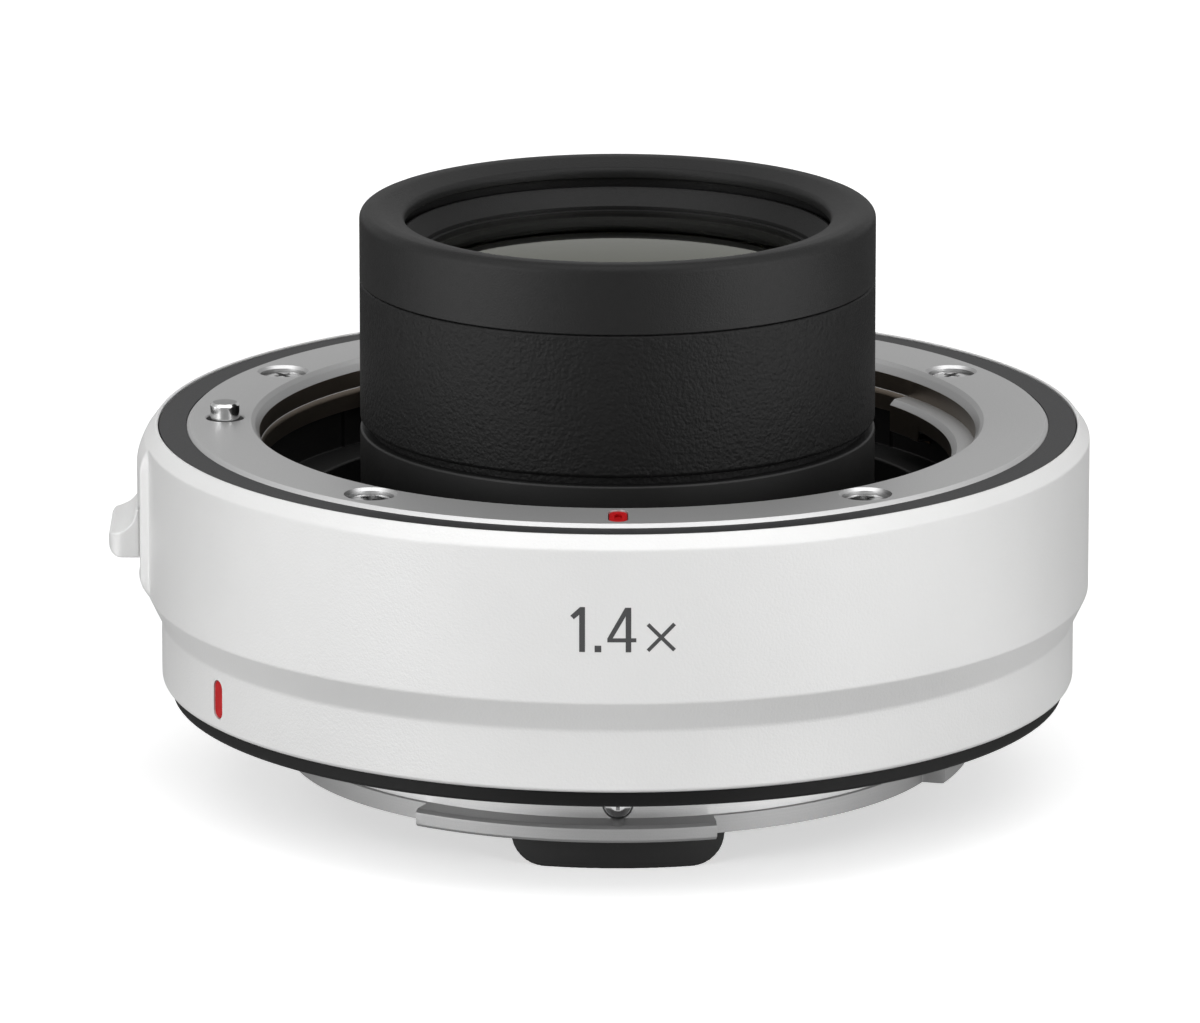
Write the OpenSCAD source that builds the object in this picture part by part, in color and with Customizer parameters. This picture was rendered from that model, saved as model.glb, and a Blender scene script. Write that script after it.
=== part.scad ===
// Camera teleconverter: a short drum with a female bayonet in front, an optical barrel that stands
// up through it, and a male bayonet behind.
// Frame: +Z runs from the camera towards the lens in front, and the origin is the centre of the rear
// flange plane. Azimuth 0 faces -Y and turns towards +X. Lengths are millimetres, angles degrees.

/* [Mount standard] */
// Distance from the rear flange plane to the front flange plane
flange_gap = 20.3; // [20:0.1:22]
// Radius of the front throat
throat_r = 27; // [26.8:0.05:27.2]
// Radius inside the front claws
claw_r = 25.2; // [25:0.05:25.4]
// Depth of the claws below the front flange plane
claw_drop = 2.06; // [1.9:0.02:2.2]
// Thickness of the claws
claw_t = 1.6; // [1.4:0.05:1.7]
// Depth of the tabs below the rear flange plane
tab_drop = 4.06; // [4:0.02:4.2]
// Thickness of the tabs
tab_t = 1.34; // [1.2:0.02:1.5]
// Length of the rear neck
neck_len = 5.46; // [5.4:0.02:5.8]
// Wall of the rear neck
neck_wall = 1.5; // [1.3:0.1:1.6]
// Height of the rear pilot shoulder
pilot_h = 1.2; // [0.8:0.1:1.6]
// Running clearance between a tab or pilot and the throat
tab_gap = 0.2; // [0.1:0.05:0.25]
// Running clearance between the neck and the claws
neck_gap = 0.17; // [0.1:0.01:0.2]
// Turn from insertion to lock
mount_turn_angle = 59.4; // [58:0.2:60]
// Angular play of a tab between two claws, each side
claw_play_angle = 0.8; // [0.6:0.1:1]

/* [Front mount ring] */
// Outer radius of the steel ring
mount_r = 32.5; // [32.2:0.1:32.8]
// Width of the lead-in chamfer in the throat
throat_chamfer = 0.58; // [0.3:0.02:0.7]
// Depth of the lead-in chamfer in the throat
throat_chamfer_h = 0.9; // [0.5:0.05:1.2]
// Chamfer on the outer edge
mount_chamfer = 0.3; // [0.1:0.05:0.4]
// Height of the relief groove under the claws' top level
relief_h = 0.24; // [0.1:0.02:0.3]
// Depth of the relief groove
relief_d = 0.2; // [0.1:0.05:0.3]
// Thickness of the leaf springs under the claws
leaf_t = 0.25; // [0.15:0.05:0.3]
// Radial width by which a leaf is clamped
leaf_clamp = 1.1; // [0.8:0.1:1.3]
// Length of the red front mark
front_mark_l = 3.5; // [3:0.1:3.8]
// Width of the red front mark
front_mark_w = 1.47; // [1.2:0.01:1.6]
// Depth of the pockets of the red marks
mark_pocket = 0.6; // [0.4:0.05:0.7]
// Depth by which the red marks lie below their surfaces
mark_sink = 0.15; // [0.05:0.05:0.2]

/* [Screws] */
// Radius of the circle that the mount screws and the lock pin stand on
screw_circle = 29.6; // [29.5:0.1:29.8]
// Head radius of a mount screw
screw_head_r = 1.65; // [1.5:0.05:1.7]
// Head height of a mount screw
screw_head_h = 0.9; // [0.7:0.05:1]
// Shank radius of a mount screw
screw_shank_r = 0.8; // [0.7:0.05:0.9]
// Shank length of a mount screw
screw_len = 7.5; // [6.5:0.1:8]
// Depth of a mount screw's head below the face
screw_sink = 0.3; // [0.2:0.05:0.4]
// Head radius of a small screw
small_head_r = 0.85; // [0.7:0.05:0.9]
// Head height of a small screw
small_head_h = 0.5; // [0.4:0.05:0.6]
// Shank radius of a small screw
small_shank_r = 0.45; // [0.35:0.05:0.5]
// Radial clearance round a screw
screw_gap = 0.05; // [0.03:0.01:0.08]

/* [Shell] */
// Radius of the drum
shell_r = 35.6; // [35.4:0.1:36]
// Radius of the narrower rear part
shell_rear_r = 34.49; // [34.3:0.05:34.6]
// Height of the rear edge above the rear flange plane
shell_low = 0.6; // [0.5:0.05:0.8]
// Height of the rear end of the cone step
step_low = 5.34; // [5:0.1:5.6]
// Height of the front end of the cone step
step_high = 7.64; // [7.3:0.1:7.9]
// Radius of the rounding of the front lip
lip_round = 0.9; // [0.6:0.05:0.94]
// Radius inside the front lip
lip_r = 34.65; // [34.6:0.05:34.7]
// Rounding of the rear edge
edge_round = 0.35; // [0.25:0.05:0.5]
// Wall of the drum below the frame's seat
shell_wall = 2.5; // [2.4:0.05:2.6]
// Wall of the narrower rear part
rear_wall = 1.3; // [1.2:0.05:1.4]
// Depth of the trim ring below the shell's lip
trim_sink = 0.25; // [0.2:0.05:0.4]
// Assembly clearance between fixed rings
ring_gap = 0.1; // [0.05:0.01:0.12]
// Height of the red rear mark
rear_mark_h = 3; // [2.6:0.1:3.2]
// Width of the red rear mark
rear_mark_w = 1.3; // [1:0.1:1.5]
// Height of the middle of the red rear mark
rear_mark_z = 3.05; // [2.9:0.05:3.2]

/* [Release lever] */
// Azimuth of the lever and the lock pin
lock_az = -90; // [-92:0.5:-88]
// Radius of the raised pad round the lever
pad_r = 36.25; // [36.1:0.05:36.3]
// Half angle of the pad
pad_half_angle = 8.8; // [8.4:0.2:10]
// Height of the pad's rear end
pad_low = 7.7; // [7.6:0.1:7.9]
// Depth of the pad's front end below the front flange plane
pad_drop = 0.9; // [0.85:0.05:1.2]
// Length of the taper at the pad's rear end
pad_slope = 1.4; // [1.2:0.05:1.5]
// Length of the taper at the pad's front end
pad_taper = 1.8; // [1.6:0.1:2]
// Width of the lever
lever_w = 9.2; // [8.8:0.1:9.4]
// Radius that the lever reaches
lever_r = 38.3; // [38:0.05:38.5]
// Height of the lever's rear face
lever_low = 10.55; // [10.4:0.05:10.7]
// Height of the low edge of the finger scoop
lever_edge = 12.4; // [12.3:0.05:12.5]
// Radius of the finger scoop
scoop_r = 1.85; // [1.7:0.05:1.95]
// Radius of the lever's outer rear edge
lever_round = 0.9; // [0.6:0.05:1]
// Radius of the lever's corners, seen along the axis
lever_corner = 1.2; // [1:0.1:1.4]
// Clearance round the lever in its pocket
lever_gap = 0.2; // [0.15:0.05:0.25]
// Depth of the pocket's floor inside the pad's surface
pocket_depth = 0.5; // [0.4:0.05:0.55]
// Width of the lever's stem
stem_w = 4.6; // [4.2:0.1:4.8]
// Height of the lever's stem
stem_h = 2.2; // [2.1:0.1:2.4]
// Height of the stem's rear face above the lever's rear face
stem_lift = 0.55; // [0.5:0.05:0.6]
// Length of the lever's screws in its stem
lever_screw_l = 2; // [1.8:0.1:2.2]
// Travel of the lever
lever_travel = 1.7; // [1.5:0.05:1.8]

/* [Lock pin] */
// Radius of the lock pin
pin_r = 1.115; // [1.05:0.005:1.15]
// Height of the pin above the front flange plane
pin_proud = 1.2; // [1:0.05:1.4]
// Chamfer on the pin's tip
pin_chamfer = 0.25; // [0.1:0.05:0.3]
// Radial clearance round the pin in the front mount
pin_hole_gap = 0.3; // [0.2:0.02:0.32]
// Running clearance of the pin in its bush
pin_run = 0.05; // [0.03:0.01:0.08]
// Wall of the bush
bush_wall = 0.75; // [0.6:0.05:0.8]
// Depth of the socket for the camera's lock pin
socket_depth = 1.8; // [1.6:0.1:1.9]
// Thickness of the carrier's arm
arm_t = 1.6; // [1.4:0.1:1.8]
// Radius of the carrier's hub
hub_r = 2; // [1.9:0.05:2.1]
// Height of the carrier's hub
hub_h = 2.4; // [2.2:0.1:2.5]
// Thickness of the carrier's upright plate
plate_t = 1; // [0.8:0.05:1.1]
// Width of the carrier's upright plate
plate_w = 6; // [5.4:0.1:6.2]
// Clearance between the carrier's upright plate and the shell
plate_gap = 0.4; // [0.35:0.05:0.6]
// Length of the pin's tail inside the spring
pin_tail = 2; // [1.6:0.1:2.2]
// Thickness of the retaining clip
clip_t = 0.45; // [0.35:0.05:0.5]
// Wire diameter of the lock spring
lock_wire = 0.44; // [0.4:0.02:0.48]
// Mean radius of the lock spring
lock_spring_r = 1.55; // [1.5:0.01:1.6]
// Turns of the lock spring
lock_turns = 5; // [4:1:5]
// Outer radius of the spring seat
seat_r = 2.6; // [2.5:0.05:2.8]
// Height of the spring seat
seat_h = 1.4; // [1.2:0.1:1.6]
// Floor of the spring seat
seat_floor = 0.4; // [0.3:0.05:0.5]

/* [Frame] */
// Thickness of the frame's front plate
plate_h = 1.74; // [1.6:0.02:1.8]
// Depth of the ledge in the throat below the front flange plane
ledge_drop = 6.6; // [6.4:0.1:6.8]
// Radius inside the ledge
ledge_r = 24.2; // [24.1:0.05:24.4]
// Depth of the floor of the throat below the front flange plane
floor_drop = 9; // [8.9:0.05:9.1]
// Thickness of the throat's floor
floor_t = 1.5; // [1.4:0.05:1.6]
// Wall of the frame round the throat
frame_wall = 1.3; // [1.2:0.05:1.4]
// Clearance outside the throat's radius below the claws
cavity_gap = 0.2; // [0.15:0.05:0.25]
// Radius of the frame's screw pillars
pillar_r = 2.1; // [1.9:0.05:2.15]
// Step from the shell's lip radius in to the edge of the frame's plate
frame_inset = 0.5; // [0.4:0.05:0.6]
// Thickness of the shim on the rear mount
shim_t = 0.2; // [0.15:0.05:0.3]
// Step from the rear neck's radius out to the inner edge of the shim
shim_inset = 2.17; // [2:0.01:2.3]

/* [Barrel] */
// Radius of the barrel
barrel_r = 19.4; // [19.3:0.05:19.45]
// Height of the barrel's foot above the front flange plane
barrel_foot = 0.12; // [0.1:0.02:0.3]
// Height of the groove at the barrel's foot
foot_groove_h = 0.61; // [0.5:0.02:0.7]
// Depth of the groove at the barrel's foot
foot_groove_d = 0.8; // [0.6:0.05:0.9]
// Height of the seam below the front ring, above the front flange plane
seam_rise = 10.95; // [10.5:0.05:11.3]
// Height of the rim above the front flange plane
rim_rise = 16.2; // [16:0.05:16.4]
// Radius inside the rim
rim_in_r = 16; // [15.9:0.05:16.1]
// Rounding of the rim
rim_round = 1; // [0.7:0.05:1.1]
// Radius of the rim's crest
rim_crest_r = 18; // [17.8:0.05:18.2]
// Fall of the rim's top from its crest to its inner edge
rim_fall = 0.5; // [0.4:0.05:0.55]
// Rounding of the rim's inner edge
rim_in_round = 0.6; // [0.5:0.05:0.65]
// Depth of the rim's lip
rim_lip = 1.3; // [1.25:0.05:1.4]
// Height of the dark groove under the rim's lip
rim_groove = 0.7; // [0.5:0.05:0.8]
// Wall of the barrel
barrel_wall = 2; // [1.9:0.05:2.05]
// Radius of the collar's bore
collar_in_r = 17.6; // [17.55:0.05:17.7]
// Wall of the barrel's spigots
spigot_wall = 0.9; // [0.8:0.05:1]
// Length of the spigots
spigot_l = 3.8; // [3:0.1:4.2]

/* [Lens cell] */
// Outer radius of the cell
cell_r = 16; // [15.9:0.02:16.04]
// Height of the cell's front end above the front flange plane
cell_rise = 12.65; // [12.5:0.05:12.7]
// Height of the cell's rear end
cell_low = -1; // [-1.2:0.1:-0.8]
// Radius of the cell's flange
cell_flange_r = 19.2; // [19:0.05:19.3]
// Thickness of the cell's flange
cell_flange_t = 1.6; // [1.4:0.1:1.7]
// Radius of the front glass
front_glass_r = 14.6; // [14.5:0.05:14.8]
// Radius of the other glasses
glass_r = 13; // [12.9:0.05:13.1]
// Clearance round the glasses
glass_gap = 0.1; // [0.05:0.01:0.12]
// Cement film between cemented glasses
cement_t = 0.03; // [0.02:0.01:0.05]
// Axial clearance between a glass and what seats it
seat_gap = 0.03; // [0.02:0.01:0.05]
// Depth of the front glass's edge below the cell's front end
edge_sink = 0.1; // [0.08:0.01:0.15]
// Radial width of the seats
seat_w = 0.6; // [0.5:0.05:0.7]
// Radius that the retainer leaves clear
aperture_r = 14.3; // [14.2:0.05:14.4]

/* [Glass] */
// Curve of the front glass, front face
curve_1 = 150; // [130:5:180]
// Curve of the front glass, rear face
curve_2 = 200; // [150:5:260]
// Thickness of the front glass
thick_1 = 3.1; // [3:0.1:3.4]
// Curve of the doublet, front face
curve_3 = 60; // [56:1:66]
// Curve of the doublet's cemented face
curve_4 = 40; // [38:1:44]
// Curve of the doublet, rear face
curve_5 = 40; // [38:1:44]
// Thickness of the doublet's front glass
thick_2 = 4.2; // [4:0.1:4.6]
// Thickness of the doublet's rear glass
thick_3 = 1.6; // [1.4:0.1:1.8]
// Curve of the triplet, front face
curve_6 = 80; // [70:1:90]
// Curve of the triplet's first cemented face
curve_7 = 25; // [24:0.5:27]
// Curve of the triplet's second cemented face
curve_8 = 30; // [28:0.5:33]
// Curve of the triplet, rear face
curve_9 = 70; // [60:1:80]
// Thickness of the triplet's front glass
thick_4 = 1.5; // [1.3:0.1:1.7]
// Thickness of the triplet's middle glass
thick_5 = 7.2; // [7:0.1:7.4]
// Thickness of the triplet's rear glass
thick_6 = 1.6; // [1.4:0.1:1.8]
// Curve of the rear glass, front face
curve_10 = 60; // [54:1:70]
// Curve of the rear glass, rear face
curve_11 = 200; // [150:5:260]
// Thickness of the rear glass
thick_7 = 4; // [3.8:0.1:4.2]
// Height of the rear glass's rear vertex
rear_vertex = 0.6; // [0.5:0.05:0.8]
// Air between the rear glass and the triplet, on the axis
air_low = 2.6; // [2.5:0.05:2.8]
// Air between the triplet and the doublet, on the axis
air_high = 5.1; // [4.9:0.05:5.3]

/* [Contacts] */
// Count of the contacts
contact_count = 12; // [8:1:12]
// Radius of the contact row
contact_r = 21.75; // [21.7:0.05:21.8]
// Angle from contact to contact
contact_angle = 3; // [2.9:0.05:3.1]
// Depth of the rear contact face below the rear flange plane
contact_drop = 8.35; // [8.2:0.05:8.4]
// Height of a free pin above the level of the mating contact face
contact_proud = 0.7; // [0.6:0.05:0.75]
// Travel of a contact pin
contact_travel = 1; // [0.9:0.05:1]
// Radius of a contact pin
contact_pin_r = 0.375; // [0.35:0.005:0.38]
// Running clearance of a contact pin
contact_run = 0.04; // [0.03:0.005:0.05]
// Radius of a contact pin's collar
contact_collar_r = 0.47; // [0.46:0.005:0.48]
// Height of a contact pin's collar
contact_collar_h = 0.6; // [0.5:0.05:0.7]
// Depth of the pins' collars below the underside of the throat's floor
contact_bury = 1.3; // [1.2:0.05:1.4]
// Radial width of the front contact block
block_w = 3.6; // [3.5:0.05:3.7]
// Half angle of the front contact block
block_half_angle = 20; // [19.5:0.1:20.5]
// Height of the block above the throat's floor
block_proud = 0.25; // [0.2:0.02:0.3]
// Half angle of the block's ears
ear_half_angle = 26; // [25.5:0.1:27]
// Step between the block's sides and its ears
ear_inset = 0.3; // [0.2:0.05:0.4]
// Thickness of the block's ears
ear_t = 1.5; // [1.3:0.05:1.6]
// Thickness of the circuit boards
board_t = 0.8; // [0.6:0.05:1]
// Length of a free contact spring
contact_spring_l = 1.5; // [1.4:0.05:1.6]
// Wall of a contact spring
contact_spring_t = 0.15; // [0.1:0.01:0.2]
// Radial width of the rear contact block
rear_block_w = 3.1; // [3:0.05:3.2]
// Half width of the rear contact block
rear_block_half = 8.7; // [8.4:0.05:9]
// Taper of the rear contact block's sides, each
rear_block_taper = 0.8; // [0.5:0.05:1]
// Radius of the rear contact block's corners
rear_block_round = 2.4; // [2:0.1:2.8]
// Radius of a rear contact pad
pad_contact_r = 0.42; // [0.38:0.01:0.44]
// Depth of a rear contact pad
pad_contact_d = 0.5; // [0.4:0.05:0.6]
// Depth of the radial screw below the rear flange plane
radial_screw_drop = 3; // [2.9:0.05:3.1]
// Head radius of the radial screw
radial_head_r = 1.1; // [1:0.05:1.2]
// Head height of the radial screw
radial_head_h = 0.6; // [0.5:0.05:0.7]
// Length of the radial screw
radial_len = 3.2; // [2.8:0.1:3.6]

/* [Boards] */
// Start of the main board, azimuth
board_from_az = 46; // [44:1:50]
// End of the main board, azimuth
board_to_az = 244; // [238:1:250]
// Inner radius of the main board
board_in_r = 20.2; // [20:0.1:20.4]
// Outer radius of the main board
board_out_r = 25; // [24.8:0.1:25.2]
// Radius of the posts under the frame's floor
post_r = 1.2; // [1.1:0.05:1.3]
// Thickness of the flexible circuit
flex_t = 0.2; // [0.15:0.05:0.25]
// Width of the flexible circuit
flex_w = 2; // [1.8:0.1:2.2]
// Height of a chip on the main board
chip_h = 1; // [0.8:0.1:1.2]

/* [Rear mount] */
// Radius of the rear flange
flange_r = 32.6; // [32.5:0.02:32.62]
// Thickness of the rear flange
flange_t = 2.6; // [2.5:0.05:2.8]
// Radius of the seal's lip
gasket_r = 33.8; // [33.7:0.05:33.9]
// Depth of the seal's lip below the rear flange plane
gasket_drop = 0.66; // [0.5:0.02:0.7]
// Radius inside the rear baffle, at its front
baffle_in_r = 16.3; // [16.25:0.05:16.4]
// Radius inside the rear baffle, at its rear
baffle_out_r = 18.6; // [18.4:0.05:18.8]
// Depth of the baffle's rear end below the rear flange plane
baffle_drop = 4.9; // [4.7:0.05:5]
// Thickness of the baffle's seat on the rear mount
baffle_seat_t = 0.8; // [0.6:0.05:0.9]
// Count of the light-trap steps in the baffle
baffle_steps = 4; // [3:1:5]

/* [Hidden] */
$fn = 96;
FINE_FN = 1440;
EPS = 0.01;
// Overshoot of a cut past the face that it opens
CUT = 1;
FULL_TURN = 360;
PIN_NAMES = [for (i = [1:contact_count]) str("contact_pin_", i)];

// Azimuths of the mount screws, and the [start, end] of each tab when it is locked
SCREW_AZ = [-37.8, 37.8, 120, -120];
TABS = [[-34.6, 16.5], [66, 114], [165, 224]];
CELL_SCREW_AZ = [60, 180, 300];
POST_AZ = [60, 145, 230];
CHIP_AZ = [95, 118, 180, 205];
// Lengths and widths of the chips, in the order of their azimuths
CHIP_L = [4.2, 3, 3.6, 2];
CHIP_W = [3, 2.4, 3.6, 2.6];

// The claws fill what the tabs leave free when they go in, one turn ahead of their locked places
CLAWS = [for (i = [0:len(TABS) - 1]) [
    (i > 0 ? TABS[i - 1][1] : TABS[len(TABS) - 1][1] - FULL_TURN) + mount_turn_angle + claw_play_angle,
    TABS[i][0] + mount_turn_angle - claw_play_angle]];
rear_mark_az = -mount_turn_angle;

// Levels and radii that follow from the driving sizes
front_z = flange_gap;
claw_top = front_z - claw_drop;
mount_low = claw_top - claw_t;
plate_low = mount_low - plate_h;
ledge_z = front_z - ledge_drop;
floor_z = front_z - floor_drop;
floor_low = floor_z - floor_t;
collar_top = front_z + barrel_foot - foot_groove_h;
foot_z = front_z + barrel_foot;
seam_z = front_z + seam_rise;
rim_z = front_z + rim_rise;
cell_top = front_z + cell_rise;
mark_circle = (throat_r + throat_chamfer + mount_r - mount_chamfer) / 2;
cavity_r = throat_r + cavity_gap;
frame_r = lip_r - frame_inset;
seat_shell_r = shell_r - shell_wall;
shell_rear_wall_r = min(seat_shell_r, shell_rear_r - rear_wall);
neck_r = claw_r - neck_gap;
neck_in_r = neck_r - neck_wall;
tab_r = throat_r - tab_gap;
pilot_r = throat_r - tab_gap;
shim_top = flange_t + shim_t;
contact_z = front_z - contact_drop;
pin_tip = contact_z + contact_proud;
block_top = floor_z + block_proud;
collar_low = floor_low - contact_bury - contact_collar_h;
board_z = collar_low - contact_spring_l;
board_low = board_z - board_t;
block_in_r = contact_r - block_w / 2;
block_out_r = contact_r + block_w / 2;
rear_block_in_r = contact_r - rear_block_w / 2;
rear_block_out_r = contact_r + rear_block_w / 2;
stem_low = lever_low + stem_lift;
hub_top = stem_low + stem_h / 2 - small_head_r - ring_gap;
hub_low = hub_top - hub_h;
clip_top = hub_low - ring_gap / 2;
spring_low = shim_top + seat_floor;
spring_high = clip_top - clip_t;
plate_x = seat_shell_r - plate_gap;

// Levels of the glass faces on the axis, from the rear to the front
v11 = rear_vertex;
v10 = v11 + thick_7;
v9 = v10 + air_low;
v8 = v9 + thick_6;
v7 = v8 + thick_5;
v6 = v7 + thick_4;
v5 = v6 + air_high;
v4 = v5 + thick_3;
v3 = v4 + thick_2;
glass_edge_z = cell_top - edge_sink;
v1 = glass_edge_z + sag(curve_1, front_glass_r);
v2 = v1 - thick_1;
shoulder_z = v2 - sag(curve_2, front_glass_r) - seat_gap;

// Height of a spherical face's vertex above the same face at radius r
function sag(curve, r) = curve - sqrt(curve * curve - r * r);

// Points of an arc of radius r, or height h where it is an ellipse, from angle a to angle b
function arc(x, y, r, a, b, steps = 8, h = undef) = [for (i = [0:steps]) let (t = a + (b - a) * i / steps)
    [x + r * cos(t), y + (is_undef(h) ? r : h) * sin(t)]];

// Places its children at an azimuth and a radius, with X pointing outwards
module at_az(az, r = 0) {
    rotate([0, 0, az - 90]) translate([r, 0, 0]) children();
}

// Turns a profile of [radius, height] from one azimuth to another
module sector(from, to) {
    rotate([0, 0, from - 90]) rotate_extrude(angle = to - from) children();
}

// Rectangle of a profile between two radii and two heights
module band(r_in, r_out, z_low, z_high) {
    translate([r_in, z_low]) square([r_out - r_in, z_high - z_low]);
}

// Upright cylinder between two heights
module post(r, z_low, z_high) {
    translate([0, 0, z_low]) cylinder(r = r, h = z_high - z_low);
}

// Bar with round ends, w wide and l long over all, along X
module stadium(l, w) {
    square([l - w, w], center = true);
    for (side = [-1, 1]) translate([side * (l - w) / 2, 0]) circle(d = w);
}

// Cross-head screw along -Z with the top of its head at the origin
module screw(head_r, head_h, shank_r, len) {
    slot_w = head_r * 0.3;
    slot_l = head_r * 1.4;
    slot_d = head_h * 0.6;
    difference() {
        union() {
            rotate_extrude() polygon(concat([[0, -head_h], [head_r, -head_h]],
                arc(head_r - head_h / 2, -head_h / 2, head_h / 2, 0, 90, 4), [[0, 0]]));
            translate([0, 0, -head_h - len]) cylinder(r = shank_r, h = len + EPS);
        }
        for (turn = [0, 90]) rotate([0, 0, turn])
            translate([0, 0, -slot_d / 2 + EPS]) cube([slot_l, slot_w, slot_d], center = true);
    }
}

// Hole for a mount screw: the head's recess with a chamfered mouth, and the shank's bore, along -Z
module screw_hole(len) {
    recess_r = screw_head_r + 2 * screw_gap;
    recess_d = screw_sink + screw_head_h;
    mouth = 0.15;
    translate([0, 0, -recess_d]) cylinder(r = recess_r, h = recess_d + CUT);
    translate([0, 0, -mouth]) cylinder(r1 = recess_r, r2 = recess_r + mouth, h = mouth + EPS);
    translate([0, 0, -recess_d - len]) cylinder(r = screw_shank_r + screw_gap, h = len + CUT);
}

// Profile of a ball of glass whose face has its vertex at height z
module ball_profile(z, curve) {
    translate([0, z - curve]) circle(r = abs(curve), $fn = FINE_FN);
}

// Profile behind a glass face at vertex z: a positive curve bulges forwards, a negative one backwards
module behind_face(z, curve, r) {
    reach = 2 * r;
    if (curve > 0) ball_profile(z, curve);
    else difference() {
        band(-r - CUT, r + CUT, z - reach, z + reach);
        ball_profile(z, curve);
    }
}

// Profile in front of a glass face at vertex z
module before_face(z, curve, r) {
    reach = 2 * r;
    if (curve < 0) ball_profile(z, curve);
    else difference() {
        band(-r - CUT, r + CUT, z - reach, z + reach);
        ball_profile(z, curve);
    }
}

// One glass between its rear and its front face
module glass(r, z_rear, curve_rear, z_front, curve_front) {
    color("lightcyan") rotate_extrude() intersection() {
        band(0, r, z_rear - r, z_front + r);
        behind_face(z_front, curve_front, r);
        before_face(z_rear, curve_rear, r);
    }
}

module outer_shell() {
    pocket_x = pad_r - pocket_depth;
    pad_root_r = (lip_r + shell_r) / 2;
    color("whitesmoke") difference() {
        union() {
            rotate_extrude() polygon(concat(
                [[flange_r + ring_gap, shell_low]],
                arc(shell_rear_r - edge_round, shell_low + edge_round, edge_round, -90, 0),
                [[shell_rear_r, step_low], [shell_r, step_high]],
                arc(shell_r - lip_round, front_z - lip_round, lip_round, 0, 90),
                [[lip_r, front_z - ring_gap], [lip_r, mount_low], [frame_r + ring_gap, mount_low],
                 [frame_r + ring_gap, plate_low], [seat_shell_r, plate_low],
                 [seat_shell_r, step_high], [shell_rear_wall_r, step_low],
                 [shell_rear_wall_r, flange_t], [flange_r + ring_gap, flange_t]]));
            sector(lock_az - pad_half_angle, lock_az + pad_half_angle) polygon([
                [pad_root_r, pad_low], [shell_r, pad_low], [pad_r, pad_low + pad_slope],
                [pad_r, front_z - pad_drop - pad_taper], [shell_r, front_z - pad_drop],
                [pad_root_r, front_z - pad_drop]]);
        }
        at_az(lock_az) {
            translate([pocket_x, -lever_w / 2 - lever_gap, lever_low - lever_travel - lever_gap])
                cube([lever_r, lever_w + 2 * lever_gap,
                      lever_edge + scoop_r - lever_low + lever_travel + 2 * lever_gap]);
            translate([seat_shell_r - CUT, -stem_w / 2 - lever_gap, stem_low - lever_travel - lever_gap])
                cube([lever_r, stem_w + 2 * lever_gap, stem_h + lever_travel + 2 * lever_gap]);
        }
        at_az(rear_mark_az, shell_rear_r - mark_pocket) translate([0, 0, rear_mark_z])
            rotate([0, 90, 0]) linear_extrude(2 * CUT) stadium(rear_mark_h, rear_mark_w);
    }
}

module rear_index_mark() {
    fit = 2 * screw_gap;
    color("red") at_az(rear_mark_az, shell_rear_r - mark_pocket) translate([0, 0, rear_mark_z])
        rotate([0, 90, 0]) linear_extrude(mark_pocket - mark_sink)
            stadium(rear_mark_h - fit, rear_mark_w - fit);
}

module trim_ring() {
    top = front_z - trim_sink;
    edge = 0.2;
    color("dimgray") rotate_extrude() polygon([
        [mount_r + ring_gap, mount_low], [lip_r - ring_gap, mount_low], [lip_r - ring_gap, top - edge],
        [lip_r - ring_gap - edge, top], [mount_r + ring_gap + edge, top], [mount_r + ring_gap, top - edge]]);
}

// Black chassis: the throat's stepped wall and floor, the collar round the barrel's foot, the plate that
// carries the front mount, and the pillars that the rear mount is screwed to
module inner_frame() {
    wall_r = cavity_r + frame_wall;
    trough_r = ledge_r + frame_wall;
    ledge_low = ledge_z - frame_wall;
    window_angle = 1;
    color("black") difference() {
        union() {
            rotate_extrude() polygon([
                [collar_in_r, floor_low], [trough_r, floor_low], [trough_r, ledge_low], [wall_r, ledge_low],
                [wall_r, plate_low], [frame_r, plate_low], [frame_r, mount_low], [cavity_r, mount_low],
                [cavity_r, ledge_z], [ledge_r, ledge_z], [ledge_r, floor_z], [barrel_r, floor_z],
                [barrel_r, collar_top], [collar_in_r, collar_top]]);
            for (az = SCREW_AZ) at_az(az, screw_circle) post(pillar_r, shim_top, plate_low + EPS);
            for (az = POST_AZ) at_az(az, (board_in_r + board_out_r) / 2)
                post(post_r, board_z, floor_low + EPS);
        }
        for (az = SCREW_AZ) at_az(az, screw_circle) {
            post(screw_shank_r + screw_gap, mount_low - screw_len, mount_low + CUT);
            post(screw_shank_r + screw_gap, 0, screw_head_h + screw_sink + screw_len + screw_gap);
        }
        for (az = POST_AZ) at_az(az, (board_in_r + board_out_r) / 2)
            post(small_shank_r + screw_gap, board_z - CUT, floor_low + floor_t / 2);
        for (az = CELL_SCREW_AZ) at_az(az, (collar_in_r + cell_flange_r) / 2)
            post(small_shank_r + screw_gap, floor_low - CUT, floor_z);
        for (side = [-1, 1]) at_az(side * (block_half_angle + ear_half_angle) / 2, contact_r)
            post(small_shank_r + screw_gap, floor_low - CUT, floor_z - floor_t / 4);
        for (claw = CLAWS) sector(claw[0], claw[1])
            band(cavity_r - CUT, cavity_r + leaf_clamp + ring_gap, mount_low - leaf_t, mount_low + CUT);
        sector(-block_half_angle - window_angle, block_half_angle + window_angle)
            band(block_in_r - ring_gap, block_out_r + ring_gap, floor_low - CUT, floor_z + CUT);
        at_az(lock_az, screw_circle) {
            post(pin_r + pin_hole_gap, ledge_low - CUT, mount_low + CUT);
            post(pin_r + pin_run + bush_wall + screw_gap, plate_low, mount_low + CUT);
        }
    }
}

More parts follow.
